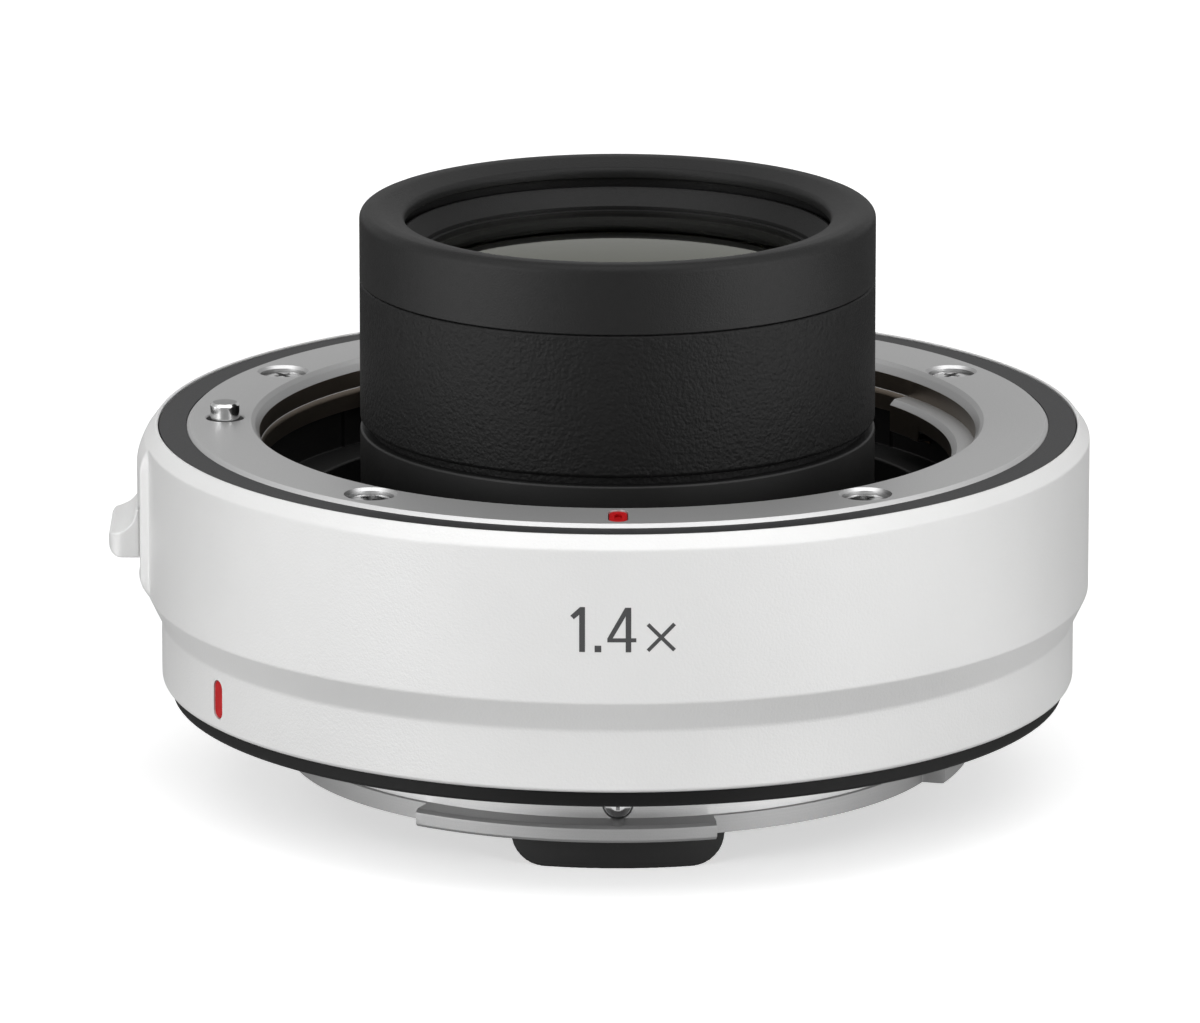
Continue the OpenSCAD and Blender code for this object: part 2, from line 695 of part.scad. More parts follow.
// Steel ring of the front bayonet, with its three claws
module front_mount() {
    color("silver") difference() {
        union() {
            rotate_extrude() polygon([
                [throat_r, mount_low], [mount_r, mount_low], [mount_r, front_z - mount_chamfer],
                [mount_r - mount_chamfer, front_z], [throat_r + throat_chamfer, front_z],
                [throat_r, front_z - throat_chamfer_h], [throat_r, claw_top],
                [throat_r + relief_d, claw_top - relief_h / 2], [throat_r, claw_top - relief_h]]);
            for (claw = CLAWS) sector(claw[0], claw[1]) polygon([
                [claw_r, mount_low], [throat_r + relief_d, mount_low], [throat_r + relief_d, claw_top],
                [claw_r + relief_d, claw_top], [claw_r, claw_top - relief_d]]);
        }
        for (az = SCREW_AZ) at_az(az, screw_circle) translate([0, 0, front_z]) screw_hole(screw_len);
        at_az(lock_az, screw_circle) post(pin_r + pin_hole_gap, mount_low - CUT, front_z + CUT);
        at_az(0, mark_circle) translate([0, 0, front_z - mark_pocket])
            linear_extrude(2 * CUT) stadium(front_mark_l, front_mark_w);
    }
}

module front_mount_screws() {
    color("gainsboro") for (az = SCREW_AZ) at_az(az, screw_circle) translate([0, 0, front_z - screw_sink])
        rotate([0, 0, az]) screw(screw_head_r, screw_head_h, screw_shank_r, screw_len);
}

module front_index_mark() {
    fit = 2 * screw_gap;
    dimple = 0.2;
    color("red") at_az(0, mark_circle) translate([0, 0, front_z - mark_pocket]) difference() {
        linear_extrude(mark_pocket - mark_sink / 2) stadium(front_mark_l - fit, front_mark_w - fit);
        translate([0, 0, mark_pocket - mark_sink / 2 - dimple])
            linear_extrude(CUT) stadium(front_mark_l - front_mark_w, front_mark_w / 2);
    }
}

// Leaf springs clamped under the claws, one of them with a skirt that guides the tab in
module bayonet_springs() {
    margin_angle = 3;
    leaf_inset = 0.5;
    skirt_angle = 4;
    skirt_drop = 1.5;
    skirt_t = 0.12;
    color("darkgoldenrod") {
        for (claw = CLAWS) sector(claw[0] + margin_angle, claw[1] - margin_angle)
            band(claw_r + leaf_inset, cavity_r + leaf_clamp, mount_low - leaf_t, mount_low);
        sector(CLAWS[1][1] - margin_angle - skirt_angle, CLAWS[1][1] - margin_angle)
            band(throat_r, throat_r + skirt_t, mount_low - skirt_drop, mount_low);
    }
}

module pin_bush() {
    color("goldenrod") at_az(lock_az, screw_circle) difference() {
        post(pin_r + pin_run + bush_wall, plate_low, mount_low - ring_gap);
        post(pin_r + pin_run, plate_low - CUT, mount_low + CUT);
    }
}

module front_barrel() {
    bore_r = barrel_r - barrel_wall;
    web = 2;
    spigot_r = collar_in_r - ring_gap;
    spigot_in_r = cell_r + 3 * ring_gap;
    foot_round = 0.25;
    color("black") rotate_extrude() polygon(concat([
        [spigot_in_r, collar_top - spigot_l], [spigot_r, collar_top - spigot_l], [spigot_r, collar_top],
        [barrel_r - foot_groove_d, collar_top], [barrel_r - foot_groove_d, foot_z]],
        arc(barrel_r - foot_round, foot_z + foot_round, foot_round, -90, 0, 4),
        [[barrel_r, seam_z], [bore_r, seam_z], [bore_r, foot_z + web], [spigot_in_r, foot_z + web]]));
}

module front_ring() {
    spigot_r = barrel_r - barrel_wall - ring_gap;
    bore_r = spigot_r - spigot_wall;
    color("black") rotate_extrude() polygon(concat(
        [[bore_r, seam_z - spigot_l], [spigot_r, seam_z - spigot_l], [spigot_r, seam_z], [barrel_r, seam_z]],
        arc(barrel_r - rim_round, rim_z - rim_round, rim_round, 0, 90),
        [[rim_crest_r, rim_z]],
        arc(rim_in_r + rim_in_round, rim_z - rim_fall - rim_in_round, rim_in_round, 90, 180),
        [[rim_in_r, rim_z - rim_lip], [bore_r, rim_z - rim_lip]]));
}

module lens_cell() {
    bore_r = glass_r + glass_gap;
    front_bore_r = front_glass_r + glass_gap;
    lip_in_r = glass_r - seat_w;
    lip_low = v3 - sag(curve_3, lip_in_r) + seat_gap;
    lip_high = lip_low + seat_w;
    color("dimgray") difference() {
        rotate_extrude() polygon([
            [bore_r, cell_low], [cell_r, cell_low], [cell_r, floor_low - cell_flange_t],
            [cell_flange_r, floor_low - cell_flange_t], [cell_flange_r, floor_low],
            [cell_r, floor_low], [cell_r, cell_top], [front_bore_r, cell_top],
            [front_bore_r, shoulder_z], [bore_r, shoulder_z], [bore_r, lip_high], [lip_in_r, lip_high],
            [lip_in_r, lip_low], [bore_r, lip_low]]);
        for (az = CELL_SCREW_AZ) at_az(az, (collar_in_r + cell_flange_r) / 2)
            post(small_shank_r + screw_gap, floor_low - cell_flange_t - CUT, floor_low + CUT);
    }
}

module cell_screws() {
    color("gainsboro") for (az = CELL_SCREW_AZ) at_az(az, (collar_in_r + cell_flange_r) / 2)
        translate([0, 0, floor_low - cell_flange_t - small_head_h]) rotate([180, 0, 0])
            screw(small_head_r, small_head_h, small_shank_r, cell_flange_t + floor_t / 2);
}

module front_retainer() {
    outer_r = barrel_r - barrel_wall - 2 * ring_gap - spigot_wall;
    top = rim_z - rim_lip - rim_groove;
    foot = 0.15;
    edge = 0.2;
    shelf = 0.7;
    color("black") rotate_extrude() polygon([
        [aperture_r, cell_top], [outer_r, cell_top], [outer_r, top], [outer_r - edge, top],
        [aperture_r + shelf, cell_top + 2 * foot], [aperture_r, cell_top + foot]]);
}

module rear_retainer() {
    in_r = glass_r - seat_w;
    color("black") rotate_extrude()
        band(in_r, glass_r, cell_low + 2 * ring_gap, v11 + sag(curve_11, in_r) - seat_gap);
}

module cell_spacer_1() {
    in_r = glass_r - seat_w;
    color("black") rotate_extrude()
        band(in_r, glass_r, v6 - sag(curve_6, in_r) + seat_gap, v5 - sag(curve_5, glass_r) - seat_gap);
}

module cell_spacer_2() {
    in_r = glass_r - seat_w;
    color("black") rotate_extrude()
        band(in_r, glass_r, v10 - sag(curve_10, in_r) + seat_gap, v9 - sag(curve_9, glass_r) - seat_gap);
}

module element_1() { glass(front_glass_r, v2, curve_2, v1, curve_1); }
module element_2() { glass(glass_r, v4, -curve_4, v3, curve_3); }
module element_3() { glass(glass_r, v5, curve_5, v4 - cement_t, -curve_4); }
module element_4() { glass(glass_r, v7, curve_7, v6, curve_6); }
module element_5() { glass(glass_r, v8, -curve_8, v7 - cement_t, curve_7); }
module element_6() { glass(glass_r, v9, curve_9, v8 - cement_t, -curve_8); }
module element_7() { glass(glass_r, v11, -curve_11, v10, curve_10); }

// Azimuth of a contact, counted from 1
function contact_az(i) = (i - (contact_count + 1) / 2) * contact_angle;

// Insulator of the front contacts, let into the throat's floor from below
module front_contact_block() {
    bore_step = collar_low + contact_collar_h + contact_run;
    color("black") difference() {
        union() {
            sector(-block_half_angle, block_half_angle) band(block_in_r, block_out_r, board_z, block_top);
            sector(-ear_half_angle, ear_half_angle)
                band(block_in_r + ear_inset, block_out_r - ear_inset, floor_low - ear_t, floor_low);
        }
        for (i = [1:contact_count]) at_az(contact_az(i), contact_r) {
            post(contact_pin_r + contact_run, board_z - CUT, block_top + CUT);
            post(contact_collar_r + contact_run, board_z - CUT, bore_step);
        }
        for (side = [-1, 1]) at_az(side * (block_half_angle + ear_half_angle) / 2, contact_r)
            post(small_shank_r + screw_gap, floor_low - ear_t - CUT, floor_low + CUT);
    }
}

module front_contact_screws() {
    color("gainsboro") for (side = [-1, 1]) at_az(side * (block_half_angle + ear_half_angle) / 2, contact_r)
        translate([0, 0, floor_low - ear_t - small_head_h]) rotate([180, 0, 0])
            screw(small_head_r, small_head_h, small_shank_r, ear_t + floor_t / 2);
}

module contact_pin(i) {
    color("gold") at_az(contact_az(i), contact_r) {
        post(contact_pin_r, collar_low, pin_tip - contact_pin_r);
        post(contact_collar_r, collar_low, collar_low + contact_collar_h);
        translate([0, 0, pin_tip - contact_pin_r]) sphere(r = contact_pin_r);
    }
}

module contact_springs() {
    color("silver") for (i = [1:contact_count]) at_az(contact_az(i), contact_r) difference() {
        post(contact_pin_r, board_z, collar_low);
        post(contact_pin_r - contact_spring_t, board_z - CUT, collar_low + CUT);
    }
}

module contact_board() {
    color("darkgreen") sector(-block_half_angle, block_half_angle)
        band(block_in_r, block_out_r, board_low, board_z);
}

module main_board() {
    color("darkgreen") difference() {
        sector(board_from_az, board_to_az) band(board_in_r, board_out_r, board_low, board_z);
        for (az = POST_AZ) at_az(az, (board_in_r + board_out_r) / 2)
            post(small_shank_r + screw_gap, board_low - CUT, board_z + CUT);
    }
}

// Chips under the main board
module board_chips() {
    color("black") for (i = [0:len(CHIP_AZ) - 1]) at_az(CHIP_AZ[i], (board_in_r + board_out_r) / 2)
        translate([-CHIP_W[i] / 2, -CHIP_L[i] / 2, board_low - chip_h]) cube([CHIP_W[i], CHIP_L[i], chip_h]);
}

module board_screws() {
    color("gainsboro") for (az = POST_AZ) at_az(az, (board_in_r + board_out_r) / 2)
        translate([0, 0, board_low - small_head_h]) rotate([180, 0, 0])
            screw(small_head_r, small_head_h, small_shank_r, board_t + floor_low - board_z);
}

// Flexible circuit: an arc from the contact board to the main board, and a tail to the rear block
module flex_cable() {
    overlap_angle = 6;
    tail_half_angle = 6;
    color("chocolate") {
        sector(block_half_angle - overlap_angle, board_from_az + overlap_angle)
            band(contact_r - flex_w / 2, contact_r + flex_w / 2, board_low - flex_t, board_low);
        sector(-tail_half_angle, tail_half_angle) band(contact_r, contact_r + flex_t, flange_t, board_low);
    }
}

module rear_mount() {
    edge = 0.2;
    color("silver") difference() {
        union() {
            rotate_extrude() polygon([
                [neck_in_r, flange_t], [flange_r, flange_t], [flange_r, edge], [flange_r - edge, 0],
                [pilot_r, 0], [pilot_r, -pilot_h + edge], [pilot_r - edge, -pilot_h], [neck_r, -pilot_h],
                [neck_r, -neck_len + edge], [neck_r - edge, -neck_len], [neck_in_r, -neck_len]]);
            for (tab = TABS) sector(tab[0], tab[1]) polygon([
                [neck_r - neck_wall / 2, -tab_drop - tab_t], [tab_r - edge, -tab_drop - tab_t],
                [tab_r, -tab_drop - tab_t + edge], [tab_r, -tab_drop - edge], [tab_r - edge, -tab_drop],
                [neck_r - neck_wall / 2, -tab_drop]]);
        }
        for (az = SCREW_AZ) at_az(az, screw_circle) rotate([180, 0, 0]) screw_hole(screw_len);
        at_az(lock_az, screw_circle) post(pin_r + pin_hole_gap, -CUT, socket_depth);
        at_az(0, neck_r) translate([0, 0, -radial_screw_drop]) rotate([0, 90, 0]) {
            post(radial_head_r + screw_gap, -radial_head_h, CUT);
            post(small_shank_r + screw_gap, -2 * neck_wall, CUT);
        }
    }
}

module rear_mount_screws() {
    color("gainsboro") for (az = SCREW_AZ) at_az(az, screw_circle) translate([0, 0, screw_sink])
        rotate([180, 0, az]) screw(screw_head_r, screw_head_h, screw_shank_r, screw_len);
}

module mount_shim() {
    color("goldenrod") difference() {
        rotate_extrude() band(neck_r + shim_inset, flange_r - ring_gap, flange_t, shim_top);
        for (az = SCREW_AZ) at_az(az, screw_circle) post(screw_shank_r + screw_gap, 0, shim_top + CUT);
    }
}

// Rubber seal that stands proud of the rear flange plane
module rear_gasket() {
    in_r = flange_r + ring_gap / 2;
    lip_t = 0.6;
    taper = 0.3;
    color("black") rotate_extrude() polygon([
        [in_r, -gasket_drop / 3], [gasket_r - lip_t, -gasket_drop], [gasket_r, -gasket_drop],
        [gasket_r - taper, shell_low - ring_gap / 2], [in_r, shell_low - ring_gap / 2]]);
}

// Outline of the rear contact block, seen along the radius
module rear_block_outline() {
    half_low = rear_block_half - rear_block_taper;
    polygon(concat([[rear_block_half, flange_t]],
        [[rear_block_half, -neck_len]],
        arc(half_low - rear_block_round, -contact_drop + rear_block_round, rear_block_round, 0, -90),
        arc(-half_low + rear_block_round, -contact_drop + rear_block_round, rear_block_round, 270, 180),
        [[-rear_block_half, -neck_len], [-rear_block_half, flange_t]]));
}

module rear_contact_block() {
    color("black") difference() {
        intersection() {
            rotate_extrude()
                band(rear_block_in_r, rear_block_out_r, -contact_drop - CUT, flange_t + CUT);
            rotate([90, 0, 0]) linear_extrude(rear_block_out_r + CUT) rear_block_outline();
        }
        for (i = [1:contact_count]) at_az(contact_az(i), contact_r)
            post(pad_contact_r + contact_run, -contact_drop - CUT, -contact_drop + pad_contact_d);
        at_az(0, neck_r) translate([0, 0, -radial_screw_drop]) rotate([0, 90, 0])
            post(small_shank_r + screw_gap, -radial_len - screw_gap, 0);
    }
}

module rear_contact_pads() {
    color("gold") for (i = [1:contact_count]) at_az(contact_az(i), contact_r)
        post(pad_contact_r, -contact_drop, -contact_drop + pad_contact_d);
}

module contact_block_screw() {
    color("gainsboro") at_az(0, neck_r) translate([0, 0, -radial_screw_drop]) rotate([0, 90, 0])
        screw(radial_head_r, radial_head_h, small_shank_r, radial_len - radial_head_h);
}

// Black baffle round the rear glass, stepped inside to trap stray light
module rear_baffle() {
    outer_r = neck_in_r - 2 * ring_gap;
    top = flange_t + baffle_seat_t;
    notch_angle = 2;
    step_h = baffle_drop / baffle_steps;
    step_r = (baffle_out_r - baffle_in_r) / baffle_steps;
    notch_half_angle = asin(rear_block_half / rear_block_in_r) + notch_angle;
    steps = [for (i = [0:baffle_steps - 1]) each [
        [baffle_in_r + i * step_r, -i * step_h], [baffle_in_r + (i + 1) * step_r, -i * step_h]]];
    color("black") difference() {
        rotate_extrude() polygon(concat([[baffle_in_r, top]], steps, [
            [baffle_out_r, -baffle_drop], [outer_r, -baffle_drop], [outer_r, flange_t],
            [neck_r, flange_t], [neck_r, top]]));
        sector(-notch_half_angle, notch_half_angle)
            band(rear_block_in_r - 3 * ring_gap, neck_r + CUT, -baffle_drop - CUT, top + CUT);
    }
}

// Lever with its finger scoop, and the stem that passes through the shell
module release_lever() {
    inner_x = pad_r - pocket_depth + lever_gap;
    scoop_x = lever_r - lever_round / 4;
    top = lever_edge + scoop_r;
    color("whitesmoke") at_az(lock_az) {
        intersection() {
            rotate([90, 0, 0]) linear_extrude(lever_w, center = true) polygon(concat(
                [[inner_x, lever_low]],
                arc(lever_r - lever_round, lever_low + lever_round, lever_round, -90, 0),
                [[lever_r, lever_edge - lever_round / 4]],
                arc(scoop_x, top, scoop_r, 270, 180),
                [[inner_x, top]]));
            translate([0, 0, lever_low - CUT]) linear_extrude(top - lever_low + 2 * CUT) {
                translate([inner_x - CUT, -lever_w / 2])
                    square([lever_r - inner_x - lever_corner + CUT, lever_w]);
                translate([inner_x - CUT, -lever_w / 2 + lever_corner])
                    square([lever_r - inner_x + CUT, lever_w - 2 * lever_corner]);
                for (side = [-1, 1])
                    translate([lever_r - lever_corner, side * (lever_w / 2 - lever_corner)])
                        circle(r = lever_corner);
            }
        }
        difference() {
            translate([plate_x, -stem_w / 2, stem_low]) cube([inner_x - plate_x + EPS, stem_w, stem_h]);
            for (side = [-1, 1]) translate([plate_x, side * stem_w / 4, stem_low + stem_h / 2])
                rotate([0, 90, 0]) post(small_shank_r + screw_gap, -CUT, lever_screw_l + screw_gap);
        }
    }
}

// Bracket that joins the lever's stem to the lock pin
module lever_carrier() {
    arm_low = hub_low + (hub_h - arm_t) / 2;
    plate_top = stem_low + stem_h;
    color("gray") at_az(lock_az) difference() {
        union() {
            translate([plate_x - plate_t, -plate_w / 2, arm_low])
                cube([plate_t, plate_w, plate_top - arm_low]);
            translate([screw_circle, -hub_r, arm_low]) cube([plate_x - screw_circle, 2 * hub_r, arm_t]);
            translate([screw_circle, 0, 0]) post(hub_r, hub_low, hub_top);
        }
        translate([screw_circle, 0, 0]) post(pin_r + pin_run, hub_low - CUT, hub_top + CUT);
        for (side = [-1, 1]) translate([plate_x, side * stem_w / 4, stem_low + stem_h / 2])
            rotate([0, 90, 0]) post(small_shank_r + screw_gap, -plate_t - CUT, CUT);
    }
}

module lever_screws() {
    color("gainsboro") at_az(lock_az) for (side = [-1, 1])
        translate([plate_x - plate_t - small_head_h, side * stem_w / 4, stem_low + stem_h / 2])
            rotate([0, -90, 0]) screw(small_head_r, small_head_h, small_shank_r, plate_t + lever_screw_l);
}

module lock_pin() {
    tip = front_z + pin_proud;
    color("silver") at_az(lock_az, screw_circle) rotate_extrude() polygon([
        [0, spring_high - pin_tail], [pin_r, spring_high - pin_tail], [pin_r, tip - pin_chamfer],
        [pin_r - pin_chamfer, tip], [0, tip]]);
}

module pin_clip() {
    color("dimgray") at_az(lock_az, screw_circle) difference() {
        post(hub_r, clip_top - clip_t, clip_top);
        post(pin_r + pin_run, clip_top - clip_t - CUT, clip_top + CUT);
    }
}

// Points of one ring of the spring's wire, at turn t of the coil
function wire_ring(t, sides, rise) = [for (k = [0:sides - 1]) let (a = FULL_TURN * k / sides,
    r = lock_spring_r + lock_wire / 2 * cos(a)) [r * cos(FULL_TURN * t), r * sin(FULL_TURN * t),
    rise * t + lock_wire / 2 * sin(a)]];

// Coil spring between the clip and its seat, as one tube
module lock_spring() {
    sides = 6;
    per_turn = 8;
    rings = lock_turns * per_turn;
    rise = (spring_high - spring_low - lock_wire - 2 * seat_gap) / lock_turns;
    points = [for (i = [0:rings]) each wire_ring(i / per_turn, sides, rise)];
    walls = [for (i = [0:rings - 1]) for (k = [0:sides - 1]) let (
        a = i * sides + k, b = i * sides + (k + 1) % sides) each [
        [a, a + sides, b], [b, a + sides, b + sides]]];
    ends = [for (k = [1:sides - 2]) each [[0, k, k + 1], [rings * sides, rings * sides + k + 1,
        rings * sides + k]]];
    echo(lock_spring_gap = rise - lock_wire);
    color("silver") at_az(lock_az, screw_circle) translate([0, 0, spring_low + seat_gap + lock_wire / 2])
        polyhedron(points = points, faces = concat(walls, ends));
}

module spring_seat() {
    color("goldenrod") at_az(lock_az, screw_circle) difference() {
        post(seat_r, shim_top, shim_top + seat_h);
        post(lock_spring_r + lock_wire, shim_top + seat_floor, shim_top + seat_h + CUT);
    }
}

outer_shell();
trim_ring();
inner_frame();
front_mount();
front_mount_screws();
front_index_mark();
bayonet_springs();
pin_bush();
front_barrel();
front_ring();
lens_cell();
front_retainer();
rear_retainer();
cell_spacer_1();
cell_spacer_2();
cell_screws();
element_1();
element_2();
element_3();
element_4();
element_5();
element_6();
element_7();
front_contact_block();
front_contact_screws();
contact_board();
contact_springs();
main_board();
board_chips();
board_screws();
flex_cable();
rear_mount();
rear_mount_screws();
mount_shim();
rear_gasket();
rear_contact_block();
rear_contact_pads();
contact_block_screw();
rear_baffle();
rear_index_mark();
release_lever();
lever_carrier();
lever_screws();
lock_pin();
pin_clip();
lock_spring();
spring_seat();
for (i = [1:contact_count]) contact_pin(i);
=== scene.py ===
"""Looks of a camera teleconverter: painted shell, steel bayonets, black barrel, coated glass.

Lengths are metres in the part's own frame: +Z runs from the camera towards the lens in front, azimuth 0
faces -Y and turns towards +X. Sizes that a node already has come from the frame.
"""
import functools
import math

import bmesh
import bpy
from bpy.props import FloatProperty, FloatVectorProperty, PointerProperty
from mathutils import Matrix, Vector


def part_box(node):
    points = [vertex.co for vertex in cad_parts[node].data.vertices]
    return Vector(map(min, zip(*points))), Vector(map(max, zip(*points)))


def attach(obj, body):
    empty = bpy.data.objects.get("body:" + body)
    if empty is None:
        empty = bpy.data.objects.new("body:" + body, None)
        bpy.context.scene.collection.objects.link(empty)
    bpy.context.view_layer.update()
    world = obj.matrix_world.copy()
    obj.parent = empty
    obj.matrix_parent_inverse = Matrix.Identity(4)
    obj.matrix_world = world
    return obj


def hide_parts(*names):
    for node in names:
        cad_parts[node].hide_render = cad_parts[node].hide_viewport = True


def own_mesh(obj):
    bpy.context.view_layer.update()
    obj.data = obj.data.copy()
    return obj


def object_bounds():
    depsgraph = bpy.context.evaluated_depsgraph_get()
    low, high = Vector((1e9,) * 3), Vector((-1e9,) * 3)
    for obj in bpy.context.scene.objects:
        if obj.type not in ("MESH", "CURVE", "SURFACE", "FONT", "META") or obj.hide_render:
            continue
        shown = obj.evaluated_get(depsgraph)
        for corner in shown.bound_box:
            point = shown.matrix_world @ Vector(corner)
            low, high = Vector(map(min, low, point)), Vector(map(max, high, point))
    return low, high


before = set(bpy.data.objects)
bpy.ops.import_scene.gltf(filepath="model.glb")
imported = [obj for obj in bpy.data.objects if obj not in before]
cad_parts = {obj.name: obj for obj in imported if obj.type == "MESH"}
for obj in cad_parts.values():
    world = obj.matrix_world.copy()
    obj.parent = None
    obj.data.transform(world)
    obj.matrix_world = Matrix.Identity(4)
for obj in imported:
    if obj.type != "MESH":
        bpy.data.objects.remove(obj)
CAD_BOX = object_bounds()

bl_info = {
    "name": "Camera teleconverter",
    "version": (1, 0, 0),
    "blender": (4, 5, 0),
    "location": "3D View > Sidebar > Teleconverter",
    "description": "Builds the finished surfaces of a camera teleconverter round its packed frame",
    "category": "Object",
}

MM = 0.001
SEGMENTS = 256
HOLE_SEGMENTS = 64
SMALL_SEGMENTS = 48
FULL_TURN = 360.0
ARC_STEP = math.radians(15)
SHARP_ANGLE = math.radians(32)
RIM_ANGLE = math.radians(60)
BEVEL_ANGLE = math.radians(40)
WELD = 1e-8
TINY = 1e-7


# Levels and radii of the frame's nodes

@functools.cache
def box(node):
    """Low and high corner of a node."""
    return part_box(node)


def top(node):
    """Height of a node's front end."""
    return box(node)[1].z


def bottom(node):
    """Height of a node's rear end."""
    return box(node)[0].z


def radius(node):
    """Radius of a round node, read on the +Y side, which is plain on every ring."""
    return box(node)[1].y


def middle(node):
    """Centre of a node's box."""
    low, high = box(node)
    return (low + high) / 2


# Settings that a user would change

def length(name, millimetres, description):
    """A length property with its default in millimetres."""
    return FloatProperty(name=name, description=description, default=millimetres * MM, unit="LENGTH",
                         precision=5)


def number(name, value, description):
    """A property that is a plain number."""
    return FloatProperty(name=name, description=description, default=value)


def colour(name, value, description):
    """A linear colour property."""
    return FloatVectorProperty(name=name, description=description, default=value, subtype="COLOR", size=3,
                               min=0.0, max=1.0)


class TeleSizes(bpy.types.PropertyGroup):
    """Sizes of the visible forms that the frame's boxes don't give."""
    shell_rear_r: length("Rear radius", 34.49, "Radius of the shell behind its cone step")
    step_low: length("Step, rear end", 5.34, "Height of the rear end of the cone step")
    step_high: length("Step, front end", 7.64, "Height of the front end of the cone step")
    lip_r: length("Lip radius", 34.65, "Radius inside the shell's front lip")
    lip_drop: length("Lip drop", 0.15, "Depth of the shell's front lip below the front mount's face")
    lip_chamfer: length("Lip chamfer", 0.98, "Width of the chamfer on the shell's front lip")
    edge_round: length("Rear edge rounding", 0.35, "Rounding of the shell's rear edge")
    pad_r: length("Pad radius", 36.25, "Radius of the raised pad round the lever")
    pad_half: length("Pad half width", 5.45, "Half the width of the raised pad, along the arc")
    pad_low: length("Pad, rear end", 7.64, "Height of the pad's rear end")
    pad_slope: length("Pad, rear taper", 1.4, "Length of the taper at the pad's rear end")
    pad_high: length("Pad, front end", 19.2, "Height of the pad's front end")
    pad_taper: length("Pad, front taper", 2.0, "Length of the taper at the pad's front end")
    pocket_depth: length("Pocket depth", 0.5, "Depth of the lever's pocket in the pad")
    lever_gap: length("Lever clearance", 0.2, "Clearance round the lever in its pocket")
    lever_travel: length("Lever travel", 1.7, "Way that the lever slides")
    throat_r: length("Throat radius", 27.0, "Radius of the front throat")
    throat_chamfer: length("Throat chamfer", 0.62, "Width of the two lead-in chamfers of the throat")
    throat_chamfer_h: length("Throat chamfer depth", 0.8, "Depth of the two lead-in chamfers of the throat")
    claw_r: length("Claw radius", 25.2, "Radius inside the claws")
    claw_drop: length("Claw drop", 2.06, "Depth of the claws below the front flange plane")
    claw_chamfer: length("Claw chamfer", 0.42, "Chamfer on the upper edge of the claws")
    claw_seat: length("Claw seat", 0.14, "Width of the bright ledge between the claws")
    screw_circle: length("Screw circle", 29.6, "Radius of the circle of the mount screws and the lock pin")
    ledge_r: length("Ledge radius", 24.2, "Radius inside the ledge of the throat")
    ledge_z: length("Ledge height", 13.7, "Height of the ledge in the throat")
    floor_z: length("Floor height", 11.3, "Height of the throat's floor")
    flange_t: length("Flange thickness", 2.6, "Thickness of the rear flange")
    neck_r: length("Neck radius", 25.03, "Radius of the rear neck")
    neck_in_r: length("Neck bore", 23.53, "Radius inside the rear neck")
    waist_r: length("Neck waist", 24.68, "Radius of the neck between the pilot shoulder and the tabs")
    pilot_r: length("Pilot radius", 26.8, "Radius of the rear pilot shoulder and of the tabs")
    pilot_h: length("Pilot height", 1.2, "Height of the rear pilot shoulder")
    tab_drop: length("Tab drop", 4.06, "Depth of the tabs below the rear flange plane")
    tab_t: length("Tab thickness", 1.34, "Thickness of the tabs")
    rim_in_r: length("Rim bore", 16.0, "Radius inside the front rim")
    rim_crest_r: length("Rim crest", 18.0, "Radius of the crest of the front rim")
    rim_fall: length("Rim fall", 0.55, "Fall of the rim's top from its crest to its bore")


class TeleColours(bpy.types.PropertyGroup):
    """Linear colours of the finishes."""
    paint: colour("White paint", (0.80, 0.80, 0.795), "Paint on the shell and the lever")
    ink: colour("Grey ink", (0.036, 0.036, 0.037), "Ink of the magnification number")
    trim: colour("Trim ring", (0.019, 0.019, 0.020), "Dark ring inside the shell's lip")
    steel: colour("Mount steel", (0.46, 0.46, 0.46), "Turned steel of both bayonets")
    # Painted shade: steel darkened and browned to stand for the shade inside the front throat
    bore: colour("Bore steel", (0.19, 0.16, 0.13), "Steel inside the front throat")
    lead_in: colour("Lead-in steel", (0.42, 0.42, 0.42), "Steel of the throat's chamfers and the screw wells")
    # Painted light: a lighter copy of the mount steel for the neck's waist, standing for how brightly it is
    # lit
    waist: colour("Waist steel", (0.51, 0.51, 0.51), "Steel of the rear neck's waist")
    # Painted shade: a darker copy of the mount steel for the rear tabs and the lock pin's flat end
    tab: colour("Tab steel", (0.30, 0.30, 0.30), "Steel of the rear tabs and of the lock pin's end")
    bright: colour("Bright steel", (0.56, 0.56, 0.56), "Steel of the screws and the lock pin")
    red: colour("Red paint", (0.52, 0.006, 0.009), "Filling of the index marks")
    barrel: colour("Black barrel", (0.0045, 0.0045, 0.0045), "Crinkle finish of the barrel")
    ring: colour("Black ring", (0.008, 0.008, 0.008), "Fine matt finish of the front ring")
    black: colour("Black chassis", (0.008, 0.008, 0.008), "Moulded black of the throat")
    rubber: colour("Rubber", (0.005, 0.005, 0.005), "Seal on the rear flange")
    gold: colour("Gold", (0.83, 0.56, 0.20), "Plating of the contacts")
    bronze: colour("Bronze", (0.22, 0.15, 0.085), "Leaf springs, shims and bushes")
    glass: colour("Glass", (0.93, 0.95, 0.86), "Body of the glasses")
    # Painted shade: the inner glasses are darkened to stand for the dark lens behind the front glass
    inner_glass: colour("Inner glass", (0.42, 0.43, 0.37), "Body of the glasses behind the front one")
    coating: colour("Lens coating", (0.85, 1.0, 0.12), "Tint of the reflections on the glasses")
    board: colour("Circuit board", (0.012, 0.075, 0.030), "Solder mask of the boards")
    film: colour("Flex film", (0.30, 0.12, 0.025), "Film of the flex cable")


